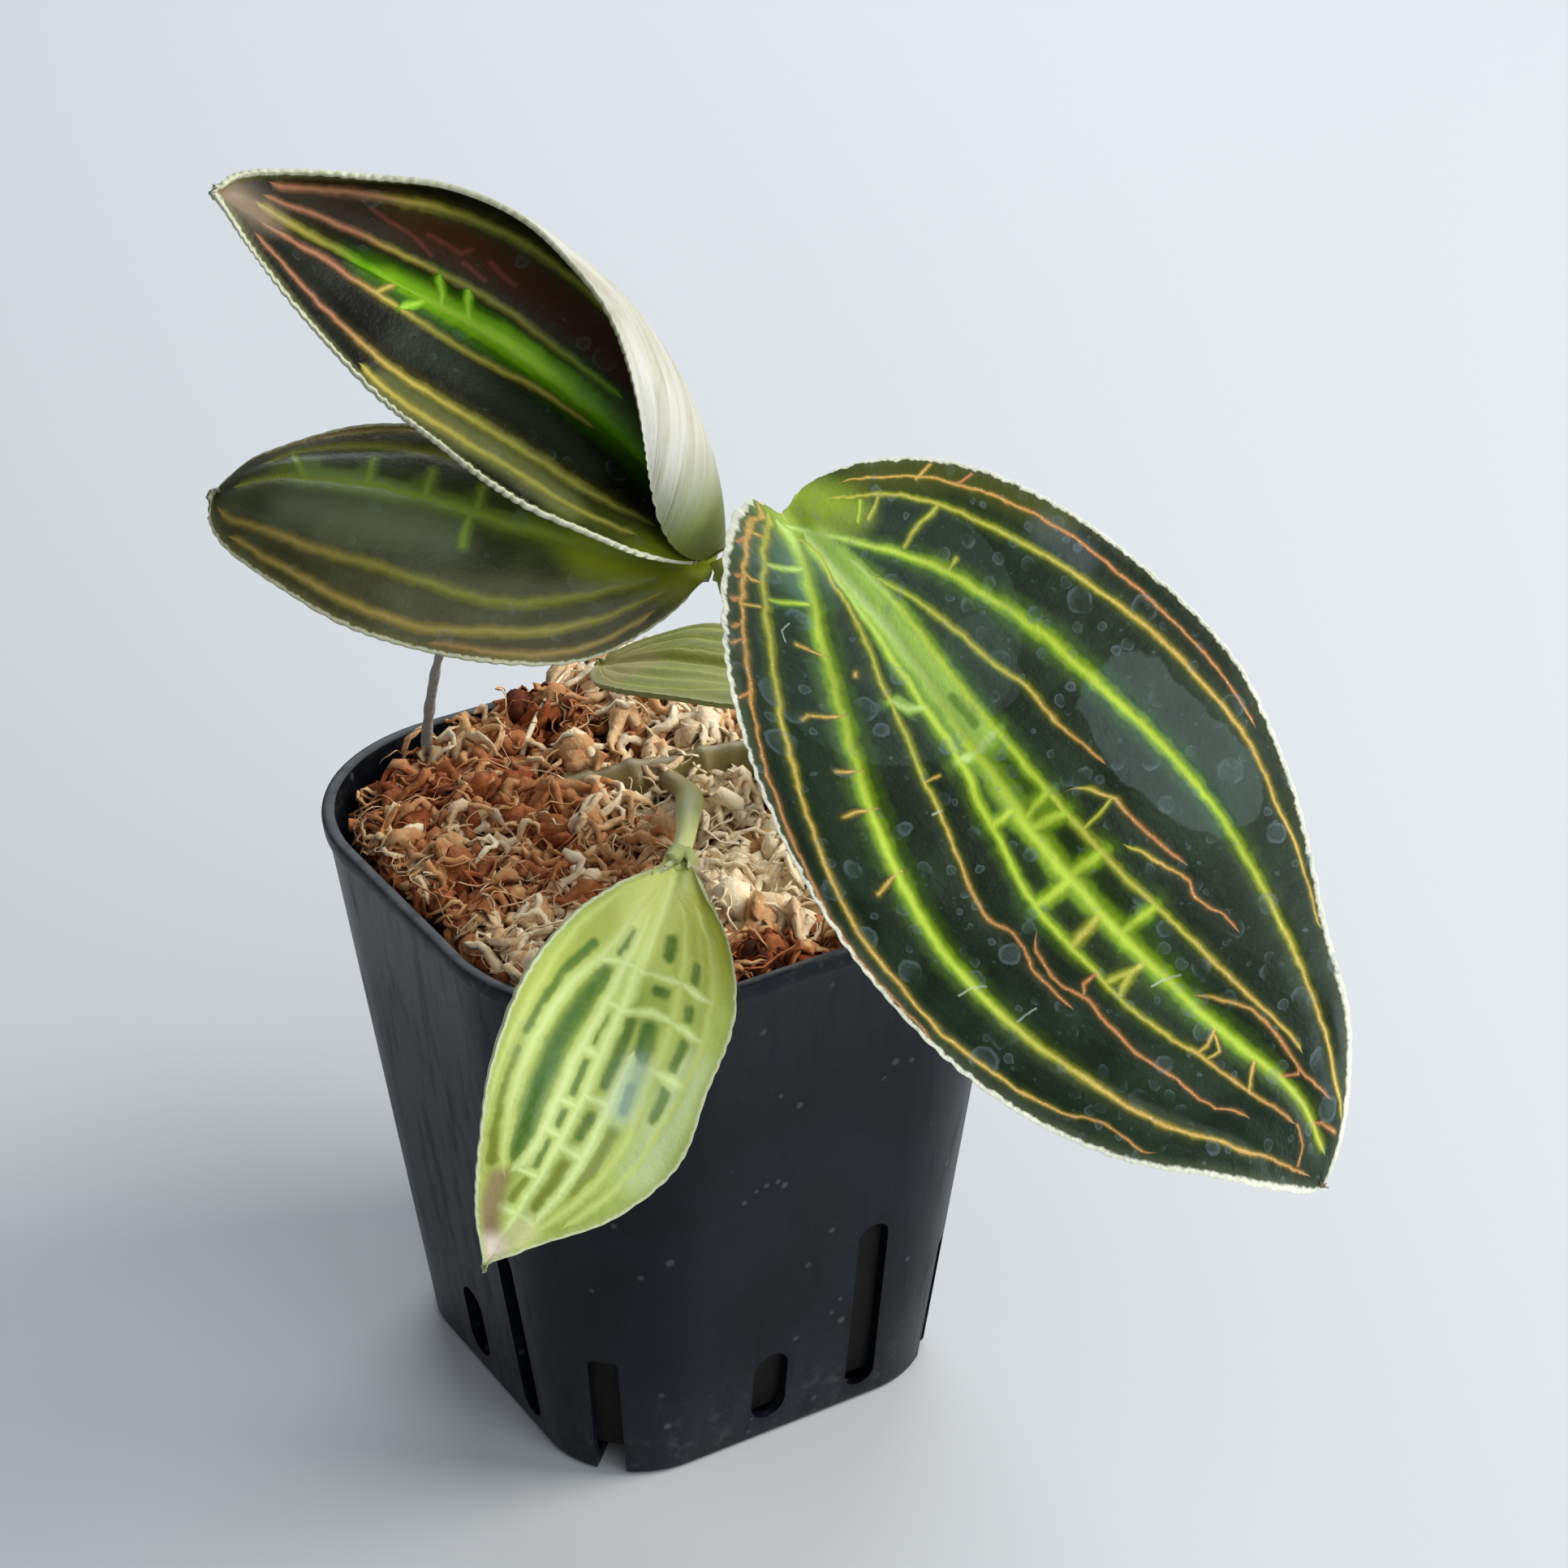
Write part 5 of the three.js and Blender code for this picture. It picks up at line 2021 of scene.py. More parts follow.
FRONT_MARKINGS = (
    vein(
        (PALE, PALE, GREEN, GREEN, GREEN, GREEN, OLIVE),
        (0.5, 0.6, 0.65, 0.8, 0.78, 0.6, 0.45, 0.3), (3, -0.6), (5, -0.7), (15, -1.3), (20, -1.3),
        (25, -1), (30, -0.5), (35, -0.3), (40, 0.2), (45, 0.5), (50, 0.6), (60, 0.5), (70, 0.2),
        (80, -0.5), (85, -1),
    ),
    vein(
        (PALE, GREEN, GREEN, GREEN, GREEN, OLIVE, GOLD, ORANGE),
        (0.3, 0.42, 0.45, 0.42, 0.38, 0.28, 0.24, 0.18), (8, -0.5), (15, -0.2), (25, 0.7), (30, 1),
        (33, 1.6), (36, 2.6), (40, 3.3), (45, 4.6), (50, 5.1), (55, 5), (60, 5.1), (65, 4.3),
        (68, 3.7), (72, 3.3), (75, 2.9), (78, 2), (80.3, 1.1),
    ),
    vein(
        (PALE, GREEN, GREEN, GREEN, OLIVE, OLIVE, GOLD, GOLD),
        (0.3, 0.45, 0.45, 0.42, 0.36, 0.28, 0.24, 0.18), (8, -2.5), (11, -3.1), (15, -3.5),
        (25, -3.4), (35, -3.4), (45, -3.5), (50, -3.5), (55, -3.8), (60, -4), (65, -4), (70, -4),
        (73, -3.9), (76, -3.4),
    ),
    vein(
        (OLIVE, OLIVE, OLIVE, OLIVE, GOLD, ORANGE, ORANGE), (0.24, 0.26, 0.26, 0.24, 0.24, 0.18),
        (2.9, 0.4), (4.8, -0.3), (6.8, -0.4), (9.5, 0.2), (11.8, 0.4), (14.5, 0.9), (17.7, 1.6),
        (20, 2.3), (25, 3.5), (30, 5), (35, 6.3), (40, 8), (44, 9.2), (45, 9.4), (46.5, 8.8),
        (47.5, 8.4), (50, 8.7), (51.5, 9.3), (53, 9.3), (57, 9.2),
    ),
    vein(
        (ORANGE,), (0.2, 0.22, 0.2, 0.14), (48.5, 6), (49.5, 7.3), (50.3, 7.9), (53, 8.4),
        (54.5, 8.2), (57, 7.5), (60, 7.6), (63.5, 7.8), (65, 7.6), (68, 6.9), (71, 6.7), (73, 6.3),
        (74.5, 5.2), (76.5, 4.8), jagged=True,
    ),
    vein(
        (PALE, GREEN, GREEN, GREEN, GREEN, GREEN, OLIVE, GOLD, GOLD, ORANGE),
        (0.42, 0.5, 0.54, 0.52, 0.44, 0.34, 0.26, 0.2), (1, 0.7), (2.1, 0.8), (3.3, 0.7),
        (5.3, 1.1), (6.7, 1.5), (8.9, 2.3), (10.7, 3), (13.5, 4.3), (17.2, 5.8), (20, 6.9),
        (25, 8.9), (30, 11), (33, 12), (37, 13.2), (40, 13.9), (45, 14.7), (50, 14.7), (55, 14.4),
        (60, 13.5), (65, 12.5), (68, 11.7), (72, 10.3), (75, 8.8), (78, 7.2), (80, 5.6), (83, 3.2),
        (85, 1.2),
    ),
    vein(
        (OLIVE, OLIVE, GOLD, GOLD, GOLD, ORANGE), (0.22, 0.27, 0.26, 0.22, 0.16), (0.8, 0.8),
        (2.5, 1.8), (3.8, 2.6), (5.3, 3.6), (7.1, 4.7), (8.5, 5.8), (10.6, 7), (13, 8.4),
        (16.2, 10.3), (20, 12.4), (25, 14.9), (30, 17), (35, 18.8), (40, 19.9), (45, 20.2),
        (50, 20.2), (55, 19.4), (60, 18.2), (63, 17), (66.5, 15), (68.5, 14.7), (70.5, 14.4),
        (72, 13.3),
    ),
    vein(
        (GOLD, ORANGE, ORANGE), (0.18, 0.2, 0.18, 0.13), (0.4, 0.9), (1.9, 1.8), (3.1, 2.8),
        (4.7, 4.1), (6, 5.1), (7.7, 6.5), (9.4, 7.7), (12.4, 9.9), (16, 12.2), (19, 14.1),
        (25, 17.3), (30, 19.1), (35, 20.6), (40, 21.4), (45, 21.5), (51, 21.2),
    ),
    vein(
        (GREEN, OLIVE, OLIVE, GOLD, ORANGE), (0.24, 0.3, 0.28, 0.26, 0.18), (11, -3.2), (15, -4.9),
        (20, -6.3), (25, -7.2), (30, -8.4), (33, -8.5), (35, -8.5), (37, -8.8), (39, -9.2),
        (41.5, -9.5),
    ),
    vein(
        (OLIVE, ORANGE, ORANGE), (0.22, 0.26, 0.2), (40.2, -3.6), (40.7, -5.3), (41.5, -6.5),
        (43, -7.3), (44.2, -7.9), (46, -7.8), (48, -8.1), (52, -8.4), (54.5, -8.9), jagged=True,
    ),
    vein(
        (OLIVE, ORANGE, ORANGE), (0.18, 0.22, 0.15), (48, -5.5), (50, -6.3), (52, -6.9), (54, -7.5),
        (55.5, -7.9), (57, -7.1), (59, -7.6), (60, -8), (63, -7.8), jagged=True,
    ),
    vein(
        (PALE, GREEN, GREEN, GREEN, GREEN, GREEN, OLIVE, GOLD, GOLD),
        (0.36, 0.46, 0.52, 0.5, 0.42, 0.34, 0.28, 0.2), (1.1, 0.6), (3.2, -0.8), (5.5, -2.6),
        (7.9, -4.3), (10.4, -6.2), (15, -9.1), (20, -11), (25, -12.5), (30, -13.5), (37, -14.4),
        (45, -15), (50, -14.8), (55, -14.2), (60, -13), (65, -11.4), (70, -9.5), (75, -7),
        (80, -4.8), (84, -3.9),
    ),
    vein(
        (OLIVE, OLIVE, GOLD, GOLD, GOLD), (0.22, 0.28, 0.28, 0.24, 0.16), (2.2, -4.2), (3.5, -5.8),
        (6, -8.9), (8, -10.9), (10, -12.6), (15, -15.4), (20, -17.6), (25, -19.4), (30, -20.8),
        (35, -21.7), (40, -22.1), (45, -22.1), (50, -21.4), (55, -19.8), (60, -18.2), (65, -15.8),
        (69, -13.6),
    ),
    vein(
        (GOLD, ORANGE, ORANGE), (0.2, 0.24, 0.2, 0.14), (2.4, -5.5), (3.3, -7.5), (5, -9.9),
        (8, -13.5), (10, -15.2), (15, -18.4), (20, -20.8), (25, -22.3), (30, -23.3), (35, -24),
        (40, -24.2), (45, -23.8), (49, -23),
    ),
    vein(
        (GOLD, ORANGE, ORANGE), (0.22, 0.24, 0.16), (63.5, 0), (65.5, -1.5), (67, -2.4), (69, -3.2),
        (72.3, -3), (74.5, -2.5), (76.8, -2.2), (79, -2.7), (81.5, -3.5), jagged=True,
    ),
    *strokes(
        (0.5, PALE, (31.4, 1.2), (31.8, -1), (31.4, -3.3)), (0.5, GREEN, (38.4, 0.5), (38.5, 2.9)),
        (0.48, GREEN, (39.9, 0), (39.6, -1.6), (39.4, -3.4)), (0.56, GREEN, (41.2, 0), (42, -3.4)),
        (0.58, GREEN, (47.4, 0.8), (47.1, 4.8)), (0.62, GREEN, (47.1, 0.3), (47.4, -3.4)),
        (0.42, OLIVE, (51.9, 0.8), (52.1, 4.9)), (0.2, GOLD, (52, 2.2), (52.1, 4.2)),
        (0.36, OLIVE, (58.1, 0.7), (58, 2.4), (57, 4.9)), (0.36, OLIVE, (58, 2.4), (58.9, 4.9)),
        (0.5, GREEN, (54.6, 0.2), (54.9, -3.6)), (0.34, PALE, (22.6, 2.9), (24.3, 1.9), (25, 0.7)),
        (0.22, PALE, (6.7, 4.3), (6.8, 3.4), (6.6, 1.6)),
        (0.16, GOLD, (7.9, 6.6), (8.4, 6.5), (8.5, 5.9)),
        (0.22, GREEN, (10, 6.3), (10.2, 5.2), (10.4, 3.6)), (0.16, GOLD, (10.7, 8.7), (10.7, 7.4)),
        (0.14, GOLD, (4, 3.4), (3.9, 2.8)), (0.2, GREEN, (5, -7), (6.3, -5.7)),
        (0.2, OLIVE, (6.1, -8.6), (6.8, -6.6)), (0.13, ORANGE, (5.2, 4.5), (5.7, 5.3)),
        (0.13, ORANGE, (8.1, 6.8), (8.5, 7.5)), (0.13, ORANGE, (10.2, 8.3), (10.6, 9.2)),
        (0.13, ORANGE, (13.5, 10.7), (13.9, 11.8)), (0.24, GOLD, (18.5, 4), (18.7, 4.1)),
        (0.22, OLIVE, (11.2, -7.6), (10.9, -9.2), (10.7, -12.8)),
        (0.18, GOLD, (14.2, 6.9), (14.6, 6.4), (15.9, 5.2)),
        (0.2, GOLD, (20.8, 11), (20.5, 10.2), (21.2, 9), (21.6, 7.3)),
        (0.2, GOLD, (26.1, 11.4), (26.5, 10.6), (27.1, 9.4)),
        (0.22, GOLD, (30, 13.6), (30.2, 12.3), (30.7, 10.7)),
        (0.2, GOLD, (37.2, 15.9), (37, 14.7), (36.7, 12.7)),
        (0.14, GOLD, (31.4, 3.7), (31.2, 4.4), (31.1, 5.2)),
        (0.2, GOLD, (68.1, 3.7), (68.2, 2.5), (67.8, 0.4)),
        (0.16, GOLD, (68.2, 1.2), (69.5, 2), (69.2, 3.4)), (0.18, GOLD, (72.7, 0.4), (74.3, 2.9)),
        (0.16, ORANGE, (80.3, 1.1), (82, 1.4), (83, 2.6)), (0.18, OLIVE, (16, -9.8), (15.8, -11)),
        (0.2, ORANGE, (56.3, 7.4), (55.7, 6.7), (55.7, 5.1)),
        (0.18, ORANGE, (75.8, -0.3), (76.8, -1.8), (76.5, -2.3)),
        (0.18, ORANGE, (81.6, -0.6), (82.3, -1.7), (83.8, -2.8)),
        (0.16, OLIVE, (44.5, -3.6), (44.6, -5.4), (44, -7.6)),
        (0.13, ORANGE, (12.2, 9.8), (12.6, 10.8)), (0.14, ORANGE, (17.7, 13.3), (18.1, 14.4)),
        (0.16, GOLD, (7.6, -12.8), (8, -15)), (0.16, ORANGE, (10.8, -15.8), (11.4, -17.8)),
    ),
)
FRONT_LEAF = Leaf(
    name="front_leaf", node="leaf_front_large", slot="leaf_dark",
    form=LeafForm(
        base=(33, -5, 125), length=86.5, heading=(13, 4.5, 29.5), pitch=(-33, -10, 5.5),
        roll=(-53, -30.5, 0), tip_shift=6, left=(7.5, 16, 22, 25.5, 26, 21.5, 14.5, 8.5, 4),
        right=(2.5, 8, 15, 20, 22, 21, 17, 10.5, 4), fold_left=(-12, -6), fold_right=(22.5, 0.5),
        curl_left=(-21, -4), curl_right=(-5, 2), lobe_left=7.5, lobe_right=18, first_station=0.03,
    ),
    relief=Relief(
        tooth=2.35, tooth_depth=0.3, swell=0.16, ripple=0.12, seed=2,
        valleys=(
            (((0, -0.6), (15, -1.3), (30, -0.5), (45, 0.2), (60, 0.4), (85, -1)), 0.42, 0.9),
            (
                ((2, 0.1), (10, 2.9), (20, 7.3), (30, 11), (45, 14.7), (60, 13.5), (80, 5.6)), 0.3,
                0.9,
            ),
            (
                (
                    (2, -1.2), (10, -6.8), (20, -11), (37, -14.4), (50, -14.8), (65, -11.4),
                    (80, -4.8),
                ),
                0.3, 0.9,
            ),
            (((3, 2.6), (15, 9.8), (30, 17), (45, 20.2), (60, 18.2), (72, 13.3)), 0.12, 0.7),
            (((3, -5), (15, -15.4), (30, -20.8), (45, -22.1), (60, -18.2), (69, -13.6)), 0.12, 0.7),
            (((8, 0.2), (20, 2.5), (30, 5), (44, 9.2), (57, 9.2)), 0.12, 0.7),
            (((11, -3.2), (20, -6.3), (30, -8.4), (46, -7.9), (63, -7.8)), 0.12, 0.7),
        ),
    ),
    upper=LeafFinish(
        name="Front leaf skin", length=86.5, blade=(17, 33, 14), blade_light=(38, 56, 34),
        markings=FRONT_MARKINGS,
        shades=(
            Shade(PALE, (190, 214, 122), (154, 184, 78), (92, 122, 44)),
            Shade(GREEN, (186, 210, 66), (120, 152, 16), (64, 90, 16)),
            Shade(OLIVE, (186, 184, 74), (120, 128, 20), (58, 72, 14)),
            Shade(GOLD, (206, 168, 84), (108, 102, 28), (50, 58, 16)),
            Shade(ORANGE, (194, 132, 80), (92, 74, 32), (44, 46, 20)),
        ),
        washes=(
            wash((110, 138, 92), 0.7, (0.1, 1.3), (5.4, (0, 0), (6, 1))),
            wash((164, 184, 78), 0.85, (0.1, 1.3), (4.0, (0, -1), (2, -1.6))),
            wash((150, 170, 50), 0.8, (0.2, 1.3), (3.0, (1.5, -2), (5, -5.4))),
            wash((78, 112, 92), 0.5, (0.2, 1.3), (1.4, (5, 2.2), (9, 3.2))),
            wash((92, 96, 34), 0.55, (0.2, 1.4), (2.2, (4, -9), (10, -16.5), (20, -22))),
            wash(
                (128, 166, 44), 0.95, (0.45, 1.25), (1.1, (3.6, -0.9), (7.6, -1.4)),
                (1.7, (7.6, -1.4), (11, -1.9)), (2.3, (11, -1.9), (20, -1.7), (37, -1.1)),
            ),
            wash((112, 146, 26), 0.8, (0.4, 1.2), (1.2, (40.7, -1), (40.7, -2.6))),
            wash(
                (186, 220, 96), 0.85, (0.4, 1.2),
                (1.7, (5, -1.1), (9, -1.6), (20, -1.9), (31, -1.9)),
            ),
            wash((104, 138, 32), 0.8, (0.3, 1.25), (0.65, (26, -2.2), (29.5, -2.2))),
            wash(
                (46, 70, 8), 0.85, (0.2, 1.25), (1.15, (34.4, -2), (37.8, -2)),
                (0.8, (34.6, 1.3), (37.2, 1.7)),
            ),
            wash(
                (8, 26, 0), 0.75, (0.3, 1.3), (1.5, (43.5, 2.7), (56, 3)),
                (1.1, (43, -1.8), (52.5, -1.9)),
            ),
            wash(
                (20, 38, 6), 0.7, (0.35, 1.2), (0.95, (40.8, 2.4), (45.3, 2.9)),
                (1.2, (49.4, 3), (50.5, 3)), (1.1, (53.7, 3), (55.6, 3.1)),
                (0.85, (43.7, -1.8), (45.5, -1.9)), (0.95, (49.2, -1.7), (53, -1.9)), over=True,
            ),
            # painted reflection: a bluish-grey sheen of the sky over the lower half, with a lower
            # roughness there
            wash(
                (82, 98, 92), 0.38, (0.93, 1.01), (5.5, (38.6, -15.4), (47, -15.6), (50, -16.6)),
                wet=0.1, ragged=0.4,
            ),
            wash((84, 98, 88), 0.22, (0.88, 1.0), (3.6, (24, -7), (27, -6)), ragged=0.3),
            wash((96, 106, 104), 0.4, (0.3, 1.4), (2.0, (20, -20), (24, -21))),
            wash((112, 132, 120), 0.09, (0.985, 1.0), (13.6, (17, -1)), over=True),
            wash(
                (186, 198, 176), 0.6, (0.2, 1.3), (0.16, (60.3, 1.9), (60.7, 0.9), (61.6, -0.8)),
                (0.12, (54.1, 14), (54.4, 11.8)), (0.12, (48.8, 16.4), (48.9, 15), (49.8, 13.8)),
                (0.16, (33.9, 6.8), (34.2, 5.9)), (0.08, (12, 6.2), (12.7, 7.2), (13.8, 7.7)),
                over=True,
            ),
        ),
        margin=Margin((228, 226, 204), (92, 98, 64), 0.9, 0.35, 0.53),
        painted_glints=0.75, marks_share=0.55,
    ),
    under=UndersideFinish("Front leaf underside", (150, 140, 118), (118, 107, 84), (120, 130, 60)),
    rows=360, columns=84,
)
UPPER_MARKINGS = (
    vein(
        (GREEN, GREEN, PALE, PALE, PALE, OLIVE, GOLD), (0.4, 0.9, 1.0, 1.05, 0.95, 0.6, 0.42, 0.3),
        (9, 0), (15, 0.2), (20, 0.4), (30, 0.7), (36, 0.6), (42, 0.6), (47, 1.9), (52, 3.5),
        (56, 4.6), (59.5, 5.2),
    ),
    vein(
        (GREEN, OLIVE, OLIVE, ORANGE, ORANGE), (0.24, 0.34, 0.36, 0.3, 0.2), (18, 3.3), (25, 3.4),
        (30, 4), (35, 4.6), (40, 5), (44, 5.4), (50, 6), (55, 6.3), (59, 6.2),
    ),
    vein(
        (OLIVE, OLIVE, OLIVE, ORANGE, ORANGE), (0.3, 0.48, 0.5, 0.46, 0.3), (20, 8.5), (26, 10.5),
        (30, 11.3), (35, 11.9), (40, 11.9), (46, 11), (50, 10), (55, 8.5), (59, 7.4),
    ),
    vein(
        (OLIVE, OLIVE, OLIVE, ORANGE, ORANGE), (0.3, 0.38, 0.38, 0.32, 0.2), (18, -1.6), (25, -2.2),
        (30, -3), (35, -3.2), (40, -2.7), (46, -1.9), (50, -1.1), (55, -0.4), (59, 0.1),
    ),
    vein(
        (OLIVE, OLIVE, OLIVE, GOLD, ORANGE, ORANGE), (0.4, 0.6, 0.56, 0.44, 0.3, 0.2), (6, -5.2),
        (8, -6.5), (11, -8.3), (15, -9.8), (20, -10.6), (25, -10.9), (30, -10.8), (35, -10.4),
        (40, -9.6), (45, -8), (50, -6), (55, -3.2), (59, -1.2),
    ),
    vein(
        (OLIVE, OLIVE, GOLD), (0.4, 0.55, 0.55, 0.34), (6, -8.4), (8, -10), (12, -12.5),
        (20, -13.9), (30, -14), (38, -12.8), (44, -10.8),
    ),
    *strokes(
        (0.32, PALE, (36.6, 4.4), (35.4, 1)), (0.32, PALE, (39.8, 5), (38.3, 1)),
        (0.32, PALE, (39.8, 0.2), (42.2, -2.5)), (0.26, GOLD, (43.2, 0.4), (45, -2)),
    ),
)
UPPER_LEAF = Leaf(
    name="upper_leaf", node="leaf_upper_folded", slot="leaf_dark",
    form=LeafForm(
        base=(24.7, -7.6, 117), length=63.5, heading=(-160, 71.5, -28), pitch=(48, -43.5, 22.5),
        roll=(0.5, 17.5, 0), tip_shift=1, left=(6.5, 12, 16, 17.5, 16, 13, 8.5, 4, 1),
        right=(10, 17.5, 21.5, 22, 19.5, 16.5, 12.5, 9.5, 6), fold_left=(5, -30),
        fold_right=(61.5, -127.5), curl_left=(8, -16), curl_right=(211, -82.5), lobe_left=-1,
        lobe_right=-1, first_station=0.05,
    ),
    relief=Relief(
        tooth=1.25, tooth_depth=0.34, swell=0.12, ripple=0.1, seed=5,
        valleys=(
            (((0, 0), (20, 0.4), (36, 0.6), (46, 1), (59, 5)), 0.36, 0.9),
            (((6, -5.2), (15, -9.8), (25, -10.9), (40, -9.6), (59, -1.2)), 0.22, 0.8),
            (((18, 3.3), (30, 4), (44, 5.4), (59, 6.2)), 0.12, 0.6),
            (((20, 8.5), (35, 11.9), (48, 10.6), (59, 7.4)), 0.2, 0.8),
            (((18, -1.6), (30, -3), (46, -1.8), (59, 0.1)), 0.12, 0.6),
        ),
    ),
    upper=LeafFinish(
        name="Upper leaf skin", length=63.5, blade=(12, 13, 6), blade_light=(27, 30, 19),
        markings=UPPER_MARKINGS,
        shades=(
            # PALE is the band's own green, brightened as painted light shining through the leaf
            Shade(PALE, (160, 204, 60), (110, 164, 16), (50, 90, 4)),
            Shade(GREEN, (98, 156, 12), (74, 122, 6), (40, 72, 2)),
            Shade(OLIVE, (136, 134, 58), (96, 96, 34), (44, 44, 8)),
            Shade(GOLD, (182, 164, 78), (120, 112, 38), (54, 50, 14)),
            Shade(ORANGE, (160, 108, 78), (100, 68, 42), (44, 34, 16)),
        ),
        washes=(
            wash((66, 34, 6), 0.8, (0.2, 1.3), (3.6, (18, 6.5), (30, 8), (44, 9))),
            wash((58, 40, 18), 0.5, (0.2, 1.3), (3.6, (46, 9), (54, 8))),
            wash((112, 122, 22), 0.85, (0.2, 1.3), (4.6, (0, -2), (3, -8))),
            wash((80, 88, 26), 0.5, (0.2, 1.4), (3.2, (6, -9), (14, -13.6))),
            wash((104, 108, 58), 0.7, (0.2, 1.3), (2.6, (14, -13.2), (30, -13.6), (40, -12))),
            wash((48, 56, 40), 0.5, (0.2, 1.4), (2.6, (16, -6), (40, -5.6))),
            wash((58, 96, 4), 0.9, (0.35, 1.2), (3.6, (10, 0.4), (30, 0.2), (46, 1.2))),
            # the band's bright core: its own green, brightened as painted light shining through the
            # leaf
            wash((138, 190, 34), 0.75, (0.1, 1.3), (2.0, (28, 0.9), (36, 0.9), (44, 1.4))),
            wash(
                (120, 60, 50), 0.55, (0.1, 1.4), (0.34, (33, 7.2), (34.6, 7.5), (36, 8.2)),
                (0.34, (35.8, 6.2), (38.2, 7)), (0.34, (38.3, 8.5), (39, 7.9), (42.5, 8.4)),
                (0.3, (41.5, 6.5), (43, 7.5), (44.5, 7.9), (48.5, 8.8)), over=True,
            ),
            wash((156, 136, 112), 0.7, (0.2, 1.3), (4.0, (59, 2.6), (64, 3)), over=True),
        ),
        margin=Margin((196, 196, 168), (112, 112, 62), 0.6, 0.5, 0.5),
        marks_share=0.2, dust=0.1, gloss=0.14,
    ),
    under=UndersideFinish("Upper leaf underside", (184, 181, 168), (146, 139, 112), (92, 102, 20)),
    rows=320, columns=84,
)
LEFT_MARKINGS = (
    vein(
        (PALE, PALE, GREEN, OLIVE), (0.55, 0.65, 0.6, 0.4), (3, 0), (16, 0), (30, 0.5), (35, 0.8),
        (40, 0.5), (45, 0.4), (52, 0),
    ),
    vein(
        (OLIVE, OLIVE, OLIVE, GOLD, GOLD), (0.35, 0.5, 0.5, 0.45, 0.3), (5, -1.6), (7, -2.5),
        (10, -4), (13, -5.6), (17, -7.3), (20, -8.3), (25, -8.7), (30, -8.4), (35, -8), (40, -7.6),
        (45, -6.5), (48, -5.7), (51, -4), (52.8, -1.3),
    ),
    vein(
        (OLIVE, GOLD, GOLD), (0.3, 0.42, 0.4, 0.3), (4, -2.6), (6, -4), (10, -7), (14, -9.3),
        (18, -11), (22, -12), (26, -13), (30, -13.2), (34, -12.8), (38, -11.8), (42, -10.5),
        (46, -9), (50.5, -6.2),
    ),
    vein(
        (GOLD, ORANGE), (0.25, 0.35, 0.3), (5, -4.8), (6, -6), (10, -9.6), (14, -12), (18, -13.3),
        (22, -14), (27, -14.6),
    ),
    vein(
        (OLIVE,), (0.3, 0.45, 0.42, 0.3), (5, 1.6), (10, 3.4), (17, 5), (25, 6), (33, 6.2),
        (41, 5.2), (50, 2.4),
    ),
    vein(
        (OLIVE, GOLD, GOLD), (0.3, 0.35, 0.3), (4, 2.6), (10, 5.8), (18, 8.2), (26, 9.3), (35, 8.7),
        (43, 6.6), (50, 4),
    ),
    *strokes(
        (0.42, GREEN, (25.5, 0.4), (25.5, 3.2)), (0.46, GREEN, (31, 0.6), (31, 3.8)),
        (0.46, GREEN, (37, 0.6), (37.4, 4)), (0.4, GREEN, (44, 0.5), (46.5, 3.7)),
        (0.42, GREEN, (26, 0), (26, -3.8)),
    ),
)
